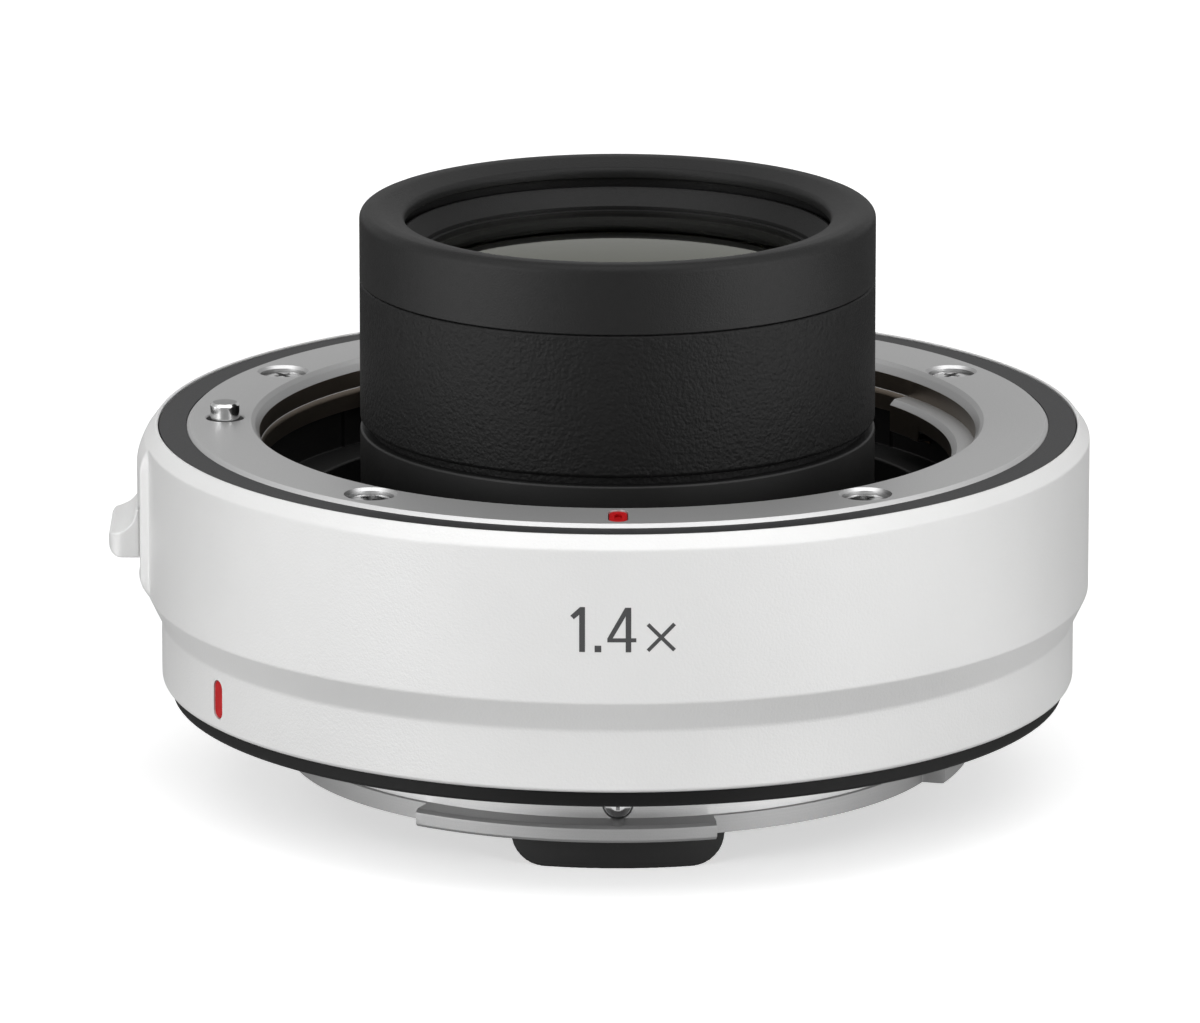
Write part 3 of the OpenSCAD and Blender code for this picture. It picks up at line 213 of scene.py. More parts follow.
class TeleStage(bpy.types.PropertyGroup):
    """Camera and light."""
    focal: number("Focal length", 326.3, "Focal length on a 36 mm sensor")
    distance: length("Distance", 822.0, "Distance of the camera from the point that it looks at")
    elevation: number("Elevation", 14.362, "Height of the camera above the horizon, in degrees")
    aim: length("Aim height", 12.976, "Height on the axis that the camera looks at")
    aside: length("Aim aside", -1.32, "Offset of the camera along X, which frames the part as photographed")
    world: number("Surrounding light", 0.07, "Strength of the world on surfaces")
    fill: number("Fill light", 0.3, "Strength that the world adds on surfaces from behind")
    reflected: number("Reflected light", 0.62, "Strength of the world in reflections")
    sheen: number("Sheen", 1.0, "Strength that the world adds in reflections at both sides")
    dim: number("Reflected dim", 0.12, "Strength of the world in reflections behind the camera")


# Arithmetic on sockets

class Value:
    """A socket of a node tree, with arithmetic that adds Math nodes."""

    def __init__(self, shader, socket):
        self.shader = shader
        self.socket = socket

    def math(self, operation, *others):
        """One Math node on this value and others."""
        return self.shader.node("ShaderNodeMath", {"operation": operation}, dict(enumerate((self, *others))))

    def __add__(self, other):
        return self.math("ADD", other)

    def __sub__(self, other):
        return self.math("SUBTRACT", other)

    def __mul__(self, other):
        return self.math("MULTIPLY", other)

    def __pow__(self, other):
        return self.math("POWER", other)

    def between(self, low, high):
        """0 below low, 1 above high, and a straight line between."""
        sockets = {"Value": self, "From Min": low, "From Max": high}
        return self.shader.node("ShaderNodeMapRange", {"clamp": True}, sockets)


class Shader:
    """A node tree under construction."""

    def __init__(self, tree):
        self.tree = tree
        tree.nodes.clear()

    def node(self, kind, settings=(), sockets=(), output=0):
        """Adds a node, sets its settings, then fills its sockets with values or links."""
        made = self.tree.nodes.new(kind)
        for name, value in dict(settings).items():
            setattr(made, name, value)
        for name, value in dict(sockets).items():
            if isinstance(value, Value):
                self.tree.links.new(value.socket, made.inputs[name])
            else:
                made.inputs[name].default_value = value
        return Value(self, made.outputs[output]) if made.outputs else None

    def mix(self, factor, first, second):
        """A colour between two."""
        return self.node("ShaderNodeMix", {"data_type": "RGBA"}, {0: factor, 6: first, 7: second}, 2)

    def place(self):
        """The point on the surface, in the piece's own frame."""
        return self.node("ShaderNodeTexCoord", output="Object")

    def axes(self, point):
        """The three coordinates of a point."""
        return [self.node("ShaderNodeSeparateXYZ", (), {0: point}, i) for i in range(3)]

    def noise(self, size, detail=2.0, rough=0.5, stretch=None):
        """Noise whose grains are about size metres across, stretched by a scale on each axis."""
        point = self.place()
        if stretch:
            point = self.node("ShaderNodeVectorMath", {"operation": "MULTIPLY"}, {0: point, 1: stretch})
        return self.node("ShaderNodeTexNoise", (), {
            "Vector": point, "Scale": 1.0 / size, "Detail": detail, "Roughness": rough})

    def cells(self, size):
        """Distance from the middle of the nearest of many cells, each about size metres across."""
        return self.node("ShaderNodeTexVoronoi", {"feature": "SMOOTH_F1"}, {
            "Vector": self.place(), "Scale": 1.0 / size, "Smoothness": 0.6})

    def turned(self, size):
        """Noise that runs in rings round the axis, on faces and on walls, as a lathe leaves it."""
        x, y, z = self.axes(self.place())
        ring = (x * x + y * y) ** 0.5
        return self.node("ShaderNodeTexNoise", {"noise_dimensions": "1D"}, {
            "W": ring + z * 0.7, "Scale": 1.0 / size, "Detail": 3.0, "Roughness": 0.6})

    def bump(self, height, depth, strength=1.0):
        """A normal from a height of 0 to 1 that stands for depth metres."""
        return self.node("ShaderNodeBump", (), {"Height": height, "Distance": depth, "Strength": strength})

    def surface(self, sockets):
        """Ends the tree in one Principled surface."""
        made = self.node("ShaderNodeBsdfPrincipled", (), sockets)
        self.node("ShaderNodeOutputMaterial", (), {"Surface": made})


def rgba(value, scale=1.0):
    """A colour with alpha, made lighter or darker by a scale."""
    return (*(min(1.0, channel * scale) for channel in value), 1.0)


# Finishes, one function each

def paint(shader, tint):
    """Fine-grained satin paint."""
    grain = shader.noise(0.2 * MM, 3.0, 0.6)
    cloud = shader.noise(9 * MM, 3.0)
    shader.surface({
        "Base Color": shader.mix(cloud.between(0.35, 0.7), rgba(tint), rgba(tint, 0.975)),
        "Roughness": grain * 0.16 + 0.38,
        "Specular IOR Level": 0.9,
        "Normal": shader.bump(grain, 0.028 * MM, 0.8)})


def ink(shader, tint):
    """Printed ink, thin over the paint's grain."""
    grain = shader.noise(0.16 * MM, 3.0, 0.6)
    shader.surface({
        "Base Color": shader.mix(grain.between(0.3, 0.7), rgba(tint), rgba(tint, 1.25)),
        "Roughness": grain * 0.2 + 0.42,
        "Normal": shader.bump(grain, 0.005 * MM, 0.5)})


def anodised(shader, tint):
    """Dark anodised metal with a fine blasted grain."""
    grain = shader.noise(0.11 * MM, 2.0, 0.7)
    shader.surface({
        "Base Color": shader.mix(grain.between(0.3, 0.75), rgba(tint, 0.82), rgba(tint, 1.2)),
        "Roughness": grain * 0.2 + 0.38,
        "Specular IOR Level": 0.22,
        "Normal": shader.bump(grain, 0.006 * MM, 0.6)})


def turned_steel(shader, tint, rough=0.46):
    """Satin steel with the rings of the lathe and a fine grain."""
    rings = shader.turned(0.05 * MM)
    grain = shader.noise(0.09 * MM, 2.0, 0.6)
    stain = shader.noise(14 * MM, 2.0)
    worn = (rings * 0.6 + grain * 0.4).between(0.25, 0.8)
    shader.surface({
        "Base Color": shader.mix(worn, rgba(tint, 0.90), rgba(tint, 1.10)),
        "Metallic": 1.0,
        "Roughness": rings * 0.10 + stain * 0.05 + rough,
        "Normal": shader.bump(rings * 0.7 + grain * 0.3, 0.0016 * MM, 0.55)})


def lead_in_steel(shader, tint):
    """Smoother turned steel, as on a chamfer."""
    turned_steel(shader, tint, 0.33)


def bright_steel(shader, tint):
    """Polished steel with hairlines."""
    hair = shader.turned(0.03 * MM)
    cloud = shader.noise(0.7 * MM, 2.0)
    shader.surface({
        "Base Color": shader.mix(cloud.between(0.3, 0.7), rgba(tint), rgba(tint, 1.12)),
        "Metallic": 1.0,
        "Roughness": hair * 0.08 + 0.11,
        "Normal": shader.bump(hair, 0.0008 * MM, 0.4)})


def enamel(shader, tint):
    """Red enamel run into a pocket."""
    cloud = shader.noise(0.8 * MM, 2.0)
    shader.surface({
        "Base Color": shader.mix(cloud.between(0.3, 0.7), rgba(tint), rgba(tint, 0.82)),
        "Roughness": cloud * 0.15 + 0.48,
        "Specular IOR Level": 0.2,
        "Normal": shader.bump(cloud, 0.01 * MM, 0.3)})


def crinkle(shader, tint):
    """Black crinkle lacquer: small pebbles with wrinkles between them."""
    warp = shader.noise(0.34 * MM, 4.0, 0.62)
    pebble = shader.cells(0.26 * MM)
    grain = shader.noise(0.12 * MM, 2.0)
    height = warp * 1.1 + pebble * -0.45 + grain * 0.12
    shader.surface({
        # Painted shade and light: colour darker in the low wrinkles and lighter on the high pebbles
        "Base Color": shader.mix(height.between(0.1, 0.6), rgba(tint, 0.75), rgba(tint, 1.3)),
        "Roughness": grain * 0.14 + 0.46,
        "Specular IOR Level": 0.155,
        "Normal": shader.bump(height, 0.095 * MM, 0.9)})


def fine_black(shader, tint):
    """Matt black with a fine even grain."""
    grain = shader.noise(0.15 * MM, 3.0, 0.65)
    cloud = shader.noise(7 * MM, 2.0)
    shader.surface({
        "Base Color": shader.mix(cloud.between(0.3, 0.7), rgba(tint), rgba(tint, 1.12)),
        "Roughness": grain * 0.14 + 0.42,
        "Specular IOR Level": 0.17,
        "Normal": shader.bump(grain, 0.042 * MM, 0.8)})


def moulded(shader, tint):
    """Moulded plastic with a spark-eroded grain."""
    grain = shader.noise(0.18 * MM, 3.0, 0.6)
    cloud = shader.noise(5 * MM, 2.0)
    shader.surface({
        "Base Color": shader.mix(cloud.between(0.3, 0.7), rgba(tint, 0.85), rgba(tint, 1.2)),
        "Roughness": grain * 0.2 + 0.42,
        "Specular IOR Level": 0.30,
        "Normal": shader.bump(grain, 0.008 * MM, 0.6)})


def rubber(shader, tint):
    """Seal rubber, soft sheen and fine bloom."""
    bloom = shader.noise(0.3 * MM, 3.0, 0.6)
    shader.surface({
        "Base Color": shader.mix(bloom.between(0.4, 0.75), rgba(tint), rgba(tint, 1.4)),
        "Roughness": bloom * 0.2 + 0.50,
        "Specular IOR Level": 0.14,
        "Normal": shader.bump(bloom, 0.008 * MM, 0.5)})


def gold_plate(shader, tint):
    """Gold plating, a little uneven."""
    cloud = shader.noise(0.25 * MM, 3.0)
    shader.surface({
        "Base Color": shader.mix(cloud.between(0.3, 0.75), rgba(tint), rgba(tint, 0.85)),
        "Metallic": 1.0,
        "Roughness": cloud * 0.14 + 0.14,
        "Normal": shader.bump(cloud, 0.002 * MM, 0.3)})


def bronze(shader, tint):
    """Rolled bronze strip."""
    rolled = shader.noise(0.12 * MM, 3.0, 0.6, (1.0, 1.0, 6.0))
    cloud = shader.noise(2 * MM, 2.0)
    shader.surface({
        "Base Color": shader.mix(cloud.between(0.3, 0.7), rgba(tint), rgba(tint, 0.75)),
        "Metallic": 1.0,
        "Roughness": rolled * 0.2 + 0.25,
        "Normal": shader.bump(rolled, 0.003 * MM, 0.4)})


def coated_glass(shader, tint, index=1.45):
    """Optical glass whose coating tints what it reflects."""
    coating = bpy.context.scene.tele_colours.coating
    film = shader.noise(6 * MM, 1.0)
    shader.surface({
        "Base Color": shader.mix(film.between(0.3, 0.7), rgba(tint), rgba(tint, 0.97)),
        "Roughness": film * 0.01,
        "Transmission Weight": 1.0,
        "IOR": index,
        "Specular Tint": rgba(coating)})


def inner_glass(shader, tint):
    """Glass behind the front one, whose coatings leave only a faint reflection."""
    coated_glass(shader, tint, 1.08)


def blackened(shader, tint):
    """Blackened metal with rings of the lathe."""
    rings = shader.turned(0.12 * MM)
    shader.surface({
        "Base Color": shader.mix(rings.between(0.3, 0.7), rgba(tint, 0.8), rgba(tint, 1.25)),
        "Roughness": rings * 0.2 + 0.45,
        "Specular IOR Level": 0.3,
        "Normal": shader.bump(rings, 0.006 * MM, 0.5)})


def sintered(shader, tint):
    """Sintered grey metal."""
    pores = shader.noise(0.2 * MM, 3.0, 0.7)
    shader.surface({
        "Base Color": shader.mix(pores.between(0.3, 0.7), rgba(tint, 0.8), rgba(tint, 1.15)),
        "Metallic": 1.0,
        "Roughness": pores * 0.3 + 0.35,
        "Normal": shader.bump(pores, 0.01 * MM, 0.5)})


def solder_mask(shader, tint):
    """Circuit board: green mask over a mesh of tracks."""
    x, y, _ = shader.axes(shader.place())
    track_pitch, via_pitch = 0.5 * MM, 1.7 * MM
    track = (x * (1.0 / track_pitch)).math("FRACT").between(0.42, 0.5)
    via = (y * (1.0 / via_pitch)).math("FRACT").between(0.30, 0.36)
    shader.surface({
        "Base Color": shader.mix(track * via, rgba(tint), rgba(tint, 1.9)),
        "Roughness": track * 0.1 + 0.30,
        "Normal": shader.bump(track * via, 0.02 * MM, 0.5)})


# Each finish by its name, with the colour that it takes

FINISHES = {
    "shell_white": (paint, "paint"),
    "trim_dark": (anodised, "trim"),
    "mount_steel": (turned_steel, "steel"),
    "fastener_steel": (bright_steel, "bright"),
    # Painted shade inside the throat
    "bore_steel": (lead_in_steel, "bore"),
    "lead_in_steel": (lead_in_steel, "lead_in"),
    # Painted light on the neck's waist
    "waist_steel": (turned_steel, "waist"),
    # Painted shade on the tabs and the lock pin's end
    "tab_steel": (turned_steel, "tab"),
    "mark_red": (enamel, "red"),
    "spring_bronze": (bronze, "bronze"),
    "frame_black": (moulded, "black"),
    "barrel_black": (crinkle, "barrel"),
    "ring_black": (fine_black, "ring"),
    "cell_black": (blackened, "black"),
    "carrier_grey": (sintered, "steel"),
    "lens_glass": (coated_glass, "glass"),
    # Painted shade: darkened glass for the inside of the lens
    "inner_glass": (inner_glass, "inner_glass"),
    "ink": (ink, "ink"),
    "contact_gold": (gold_plate, "gold"),
    "board_green": (solder_mask, "board"),
    "chip_black": (moulded, "black"),
    "flex_amber": (moulded, "film"),
    "gasket_rubber": (rubber, "rubber"),
}


def finish(name):
    """The material of a finish, made when it is first asked for."""
    made = bpy.data.materials.get(f"finish_{name}")
    if made:
        return made
    maker, tint = FINISHES[name]
    made = bpy.data.materials.new(f"finish_{name}")
    made.use_nodes = True
    maker(Shader(made.node_tree), getattr(bpy.context.scene.tele_colours, tint))
    return made


# Profiles of (radius, height)

def round_tip(reach, height, steps=10):
    """The side of a round end on the axis, from its widest place up to its tip at a height."""
    turns = [math.radians(90 * i / steps) for i in range(steps + 1)]
    return [(reach * math.cos(t), height - reach + reach * math.sin(t)) for t in turns]


def rounded(corners):
    """A profile whose corners (radius, height, rounding) become arcs, each within its share of a side."""
    share = 0.48
    points = []
    for i, corner in enumerate(corners):
        here = Vector(corner[:2])
        before = Vector(corners[i - 1][:2]) - here
        after = Vector(corners[(i + 1) % len(corners)][:2]) - here
        half = before.angle(after, math.pi) / 2
        longest = share * min(before.length, after.length)
        cut = min(corner[2] / math.tan(half), longest) if corner[2] else 0.0
        if cut < TINY:
            points.append(tuple(here))
            continue
        reach = cut * math.tan(half)
        middle_way = (before.normalized() + after.normalized()).normalized()
        centre = here + middle_way * (reach / math.sin(half))
        first = here + before.normalized() * cut - centre
        last = here + after.normalized() * cut - centre
        turn = math.atan2(first.x * last.y - first.y * last.x, first.dot(last))
        steps = max(2, math.ceil(abs(turn) / ARC_STEP))
        for k in range(steps + 1):
            t = turn * k / steps
            points.append((centre.x + first.x * math.cos(t) - first.y * math.sin(t),
                           centre.y + first.x * math.sin(t) + first.y * math.cos(t)))
    return points


def box_profile(r_in, r_out, low, high, rounding):
    """A rectangle of a profile with all its corners rounded."""
    return rounded([(r_in, low, rounding), (r_out, low, rounding), (r_out, high, rounding),
                    (r_in, high, rounding)])


# Meshes

def mesh_piece(name, shape):
    """A new object from a bmesh, with its faces turned outwards."""
    bmesh.ops.remove_doubles(shape, verts=shape.verts, dist=WELD)
    bmesh.ops.recalc_face_normals(shape, faces=shape.faces)
    mesh = bpy.data.meshes.new(name)
    shape.to_mesh(mesh)
    shape.free()
    piece = bpy.data.objects.new(name, mesh)
    bpy.context.scene.collection.objects.link(piece)
    return piece


def polar(az, r, z):
    """The point at an azimuth in degrees, a radius and a height."""
    turn = math.radians(az)
    return Vector((r * math.sin(turn), -r * math.cos(turn), z))


def lathe(name, profile, span=None, azimuths=None, form=None):
    """Turns a closed profile round the axis, or over a span of azimuths with its ends closed.
    A form changes the radius and height by azimuth, radius and height."""
    if span:
        steps = max(6, math.ceil(SEGMENTS * (span[1] - span[0]) / FULL_TURN))
        azimuths = [span[0] + (span[1] - span[0]) * i / steps for i in range(steps + 1)]
    azimuths = azimuths or [FULL_TURN * i / SEGMENTS for i in range(SEGMENTS)]
    shape = bmesh.new()
    columns = [[shape.verts.new(polar(az, *(form(az, r, z) if form else (r, z)))) for r, z in profile]
               for az in azimuths]
    for i in range(len(columns) - 1 if span else len(columns)):
        here, there = columns[i], columns[(i + 1) % len(columns)]
        for k in range(len(profile)):
            n = (k + 1) % len(profile)
            shape.faces.new((here[k], there[k], there[n], here[n]))
    if span:
        shape.faces.new(columns[0])
        shape.faces.new(columns[-1])
    return mesh_piece(name, shape)


def spindle(name, profile, segments=SMALL_SEGMENTS):
    """Turns an open profile that starts and ends on the axis."""
    shape = bmesh.new()
    columns = [[shape.verts.new(polar(FULL_TURN * i / segments, r, z)) for r, z in profile]
               for i in range(segments)]
    for i in range(segments):
        here, there = columns[i], columns[(i + 1) % segments]
        for k in range(len(profile) - 1):
            shape.faces.new((here[k], there[k], there[k + 1], here[k + 1]))
    bmesh.ops.remove_doubles(shape, verts=shape.verts, dist=WELD)
    bmesh.ops.dissolve_degenerate(shape, edges=shape.edges, dist=WELD / 10)
    return mesh_piece(name, shape)


def prism(name, outline, depth, bevel=0.0):
    """An outline in XY raised by a depth, with its edges rounded."""
    shape = bmesh.new()
    face = shape.faces.new([shape.verts.new((x, y, 0.0)) for x, y in outline])
    raised = bmesh.ops.extrude_face_region(shape, geom=[face])["geom"]
    lifted = [item for item in raised if isinstance(item, bmesh.types.BMVert)]
    bmesh.ops.translate(shape, vec=(0.0, 0.0, depth), verts=lifted)
    bmesh.ops.recalc_face_normals(shape, faces=shape.faces)
    if bevel:
        rims = [e for e in shape.edges if e.calc_face_angle(0.0) > RIM_ANGLE]
        bmesh.ops.bevel(shape, geom=rims, offset=bevel, segments=3, profile=0.5, affect="EDGES")
    return mesh_piece(name, shape)


def bar_outline(long, wide, steps=12):
    """Outline of a bar with round ends, along X."""
    reach, half = wide / 2, (long - wide) / 2
    right = [(half + reach * math.cos(t), reach * math.sin(t))
             for t in (math.radians(-90 + 180 * i / steps) for i in range(steps + 1))]
    return right + [(-x, -y) for x, y in right]


def coil(name, r, wire, low, high, turns, steps, sides):
    """A coil spring on the Z axis between two heights, with so many steps to a turn."""
    shape = bmesh.new()
    rings = []
    for i in range(steps * turns + 1):
        turn = math.tau * i / steps
        z = low + wire / 2 + (high - low - wire) * i / (steps * turns)
        rings.append([])
        for k in range(sides):
            lean = math.tau * k / sides
            reach = r + wire / 2 * math.cos(lean)
            point = (reach * math.cos(turn), reach * math.sin(turn), z + wire / 2 * math.sin(lean))
            rings[-1].append(shape.verts.new(point))
    for one, other in zip(rings, rings[1:]):
        for k in range(sides):
            shape.faces.new((one[k - 1], one[k], other[k], other[k - 1]))
    shape.faces.new(rings[0])
    shape.faces.new(rings[-1])
    return mesh_piece(name, shape)


def spring(name, node, spot, r, wire, turns, steps=24, sides=8):
    """A coil spring at a place, between the heights of its node."""
    low, high = bottom(node), top(node)
    piece = coil(name, r, wire, low, high, turns, steps, sides)
    move(piece, Matrix.Translation((spot.x, spot.y, 0)))
    dress(piece, "housing", "fastener_steel", node)
    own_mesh(piece)


def move(piece, matrix):
    """Moves a piece's mesh."""
    piece.data.transform(matrix)
    return piece


def seat(az, r, z, tilt=None):
    """The frame of a place on the part: X outwards, Y along the azimuth and Z up, tilted about its own Y."""
    place = Matrix.Translation(polar(az, r, z)) @ Matrix.Rotation(math.radians(az - 90), 4, "Z")
    return place @ Matrix.Rotation(math.radians(tilt), 4, "Y") if tilt else place


def copies(name, source, matrices):
    """One piece from copies of another, which is removed."""
    shape = bmesh.new()
    for matrix in matrices:
        mesh = source.data.copy()
        mesh.transform(matrix)
        shape.from_mesh(mesh)
        bpy.data.meshes.remove(mesh)
    discard(source)
    return mesh_piece(name, shape)


def discard(piece):
    """Removes a helper object."""
    mesh = piece.data
    bpy.data.objects.remove(piece)
    bpy.data.meshes.remove(mesh)


def bake_modifiers(piece):
    """Puts what the modifiers make into the piece's own mesh."""
    old = piece.data
    shown = piece.evaluated_get(bpy.context.evaluated_depsgraph_get())
    made = bpy.data.meshes.new_from_object(shown)
    piece.modifiers.clear()
    piece.data = made
    made.name = piece.name
    bpy.data.meshes.remove(old)
    return piece


def carve(piece, tools, operation="DIFFERENCE"):
    """Cuts other meshes from a piece, or joins them to it, and removes them."""
    for tool in tools:
        step = piece.modifiers.new("carve", "BOOLEAN")
        step.operation = operation
        step.solver = "EXACT"
        step.object = tool
    bake_modifiers(piece)
    for tool in tools:
        discard(tool)
    return piece


def soften_edges(piece, width):
    """Rounds the sharp edges of a piece."""
    step = piece.modifiers.new("edges", "BEVEL")
    step.width = width
    step.segments = 2
    step.limit_method = "ANGLE"
    step.angle_limit = BEVEL_ANGLE
    return bake_modifiers(piece)


def softened(name, node, voxel, passes=6):
    """A copy of a node's solid with all its edges rounded, as a mould leaves them."""
    piece = bpy.data.objects.new(name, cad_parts[node].data.copy())
    bpy.context.scene.collection.objects.link(piece)
    remesh = piece.modifiers.new("remesh", "REMESH")
    remesh.mode = "VOXEL"
    remesh.voxel_size = voxel
    smooth = piece.modifiers.new("smooth", "SMOOTH")
    smooth.factor = 0.5
    smooth.iterations = passes
    bake_modifiers(piece)
    piece.data.materials.clear()
    return piece


def dress(piece, body, slot, *nodes, look=None):
    """Gives a piece its finish and shading, and the body that it rides on."""
    piece.data.materials.clear()
    piece.data.materials.append(finish(look or slot))
    piece.data.polygons.foreach_set("use_smooth", [True] * len(piece.data.polygons))
    piece.data.set_sharp_from_angle(angle=SHARP_ANGLE)
    weigh = piece.modifiers.new("shading", "WEIGHTED_NORMAL")
    weigh.keep_sharp = True
    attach(piece, body)
    if nodes:
        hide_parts(*nodes)
    return piece


def repaint(piece, look, chosen):
    """Gives another finish to the faces that a test chooses by their middle and normal."""
    piece.data.materials.append(finish(look))
    for face in piece.data.polygons:
        if chosen(face.center, face.normal):
            face.material_index = len(piece.data.materials) - 1


def keep(slot, *nodes):
    """Leaves the frame's own solids in view, with a finish."""
    for node in nodes:
        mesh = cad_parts[node].data
        mesh.materials.clear()
        mesh.materials.append(finish(slot))


# Fasteners, holes and marks

CONTACTS = 12
LOCK_AZ = -90.0
SCREW_AZ = (-37.8, 37.8, 120.0, -120.0)
SCREW_SINK = 0.3 * MM
WELL_R = 1.75 * MM
WELL_DEPTH = 1.2 * MM
WELL_MOUTH = 0.22 * MM
LOCK_HOLE_R = 1.415 * MM
NECK_SCREW_Z = -3.0 * MM
MARK_GAP = 0.1 * MM
REAR_MARK = (2.9 * MM, 1.2 * MM)
REAR_MARK_SINK = 0.5 * MM
# Turn of each cross for each degree of its screw's azimuth
SCREW_TURN = 1.7
# Faces whose normals rise or fall less than this are walls
STEEP = 0.3
QUARTER_TURN = Matrix.Rotation(math.pi / 2, 4, "Z")
FLIP = Matrix.Rotation(math.pi, 4, "X")


def cross_screw(name, head_r, head_h, shank_r, shank_l):
    """A cross-head screw along -Z with the top of its head at the origin."""
    crown, end = 0.07 * head_r, -head_h - shank_l
    piece = spindle(name, rounded([
        (0.0, end, 0), (shank_r, end, shank_r * 0.3), (shank_r, -head_h, 0), (head_r, -head_h, head_h * 0.2),
        (head_r, -crown, head_h * 0.35), (head_r * 0.5, 0.0, head_r * 0.4), (0.0, 0.0, 0)]))
    arm, half, deep = head_r * 0.62, head_r * 0.15, head_h * 0.75
    foot_long, foot_wide = 0.45, 0.75
    for turn in (Matrix.Identity(4), QUARTER_TURN):
        blade = prism("blade", [(-arm, -half), (arm, -half), (arm, half), (-arm, half)], deep + head_h)
        for vert in blade.data.vertices:
            if vert.co.z < deep:
                vert.co.x *= foot_long
                vert.co.y *= foot_wide
        carve(piece, [move(blade, turn @ Matrix.Translation((0, 0, -deep)))])
    return piece


def hole_cutter(r, depth, rise, mouth=None):
    """Cutter for a hole along -Z from the origin, with a chamfered mouth of a width and a depth."""
    mouth_r = r + mouth[0] if mouth else r
    chamfer = [(r, -mouth[1]), (mouth_r, 0.0)] if mouth else []
    profile = [(0.0, -depth), (r, -depth), *chamfer, (mouth_r, rise), (0.0, rise)]
    return spindle("hole", profile, HOLE_SEGMENTS)


def mount_wells(face_z, flip):
    """Cutters for the wells of a bayonet's four screws."""
    circle = bpy.context.scene.tele_sizes.screw_circle
    return [move(hole_cutter(WELL_R, WELL_DEPTH, WELL_DEPTH, (WELL_MOUTH, WELL_MOUTH)),
                 seat(az, circle, face_z) @ flip) for az in SCREW_AZ]


def mount_screws(name, node, face_z, flip):
    """The four screws of a bayonet, each stopped at a turn of its own."""
    circle = bpy.context.scene.tele_sizes.screw_circle
    sink = flip @ Matrix.Translation((0, 0, -SCREW_SINK))
    places = [seat(az, circle, face_z) @ sink @ Matrix.Rotation(math.radians(az * SCREW_TURN), 4, "Z")
              for az in SCREW_AZ]
    screw = cross_screw("screw", head_r=1.65 * MM, head_h=0.9 * MM, shank_r=0.8 * MM, shank_l=7.5 * MM)
    dress(copies(name, screw, places), "housing", "fastener_steel", node)


def rear_mark_seat(sink):
    """The place of the mark on the shell's side, at a depth below its surface."""
    mark = middle("rear_index_mark")
    az = math.degrees(math.atan2(mark.x, -mark.y))
    return seat(az, bpy.context.scene.tele_sizes.shell_rear_r - sink, mark.z, 90)


def front_mark_bar(name, gap, depth, bevel=0.0):
    """A bar in the place and form of the front index mark, longer and wider by a gap."""
    low, high = box("front_index_mark")
    bar = prism(name, bar_outline(high.y - low.y + gap, high.x - low.x + gap), depth, bevel)
    return move(bar, Matrix.Translation((0, middle("front_index_mark").y, low.z)) @ QUARTER_TURN)


# Borders between forms round the axis

def step_mask(distance, half, ramp):
    """1 within half of the middle, 0 beyond it, with a soft ramp across the border."""
    t = max(0.0, min(1.0, (half + ramp / 2 - abs(distance)) / ramp))
    return t * t * (3 - 2 * t)


def in_spans(az, spans, ramp=0.7):
    """1 in any of some spans of azimuths, 0 between them, with soft ends."""
    return max(step_mask((az - (low + high) / 2 + 180) % FULL_TURN - 180, (high - low - ramp) / 2, ramp)
               for low, high in spans)


def ramp_samples(border, ramp, steps=6):
    """Sample places across a soft border."""
    return [border + ramp * (i / steps - 0.5) for i in range(steps + 1)]


def span_azimuths(spans, ramp=0.7):
    """Azimuths of a full turn, with more at the ends of some spans."""
    ends = [end + side * ramp / 2 for low, high in spans for end, side in ((low, 1), (high, -1))]
    close = {round(az % FULL_TURN, 6) for end in ends for az in ramp_samples(end, ramp)}
    return sorted(close | {FULL_TURN * i / SEGMENTS for i in range(SEGMENTS)})


def turn_with(others):
    """Azimuths of a full turn from -180 degrees, with others among them."""
    return sorted([FULL_TURN * i / SEGMENTS - 180 for i in range(SEGMENTS)] + others)


# Operators, one for each group of pieces

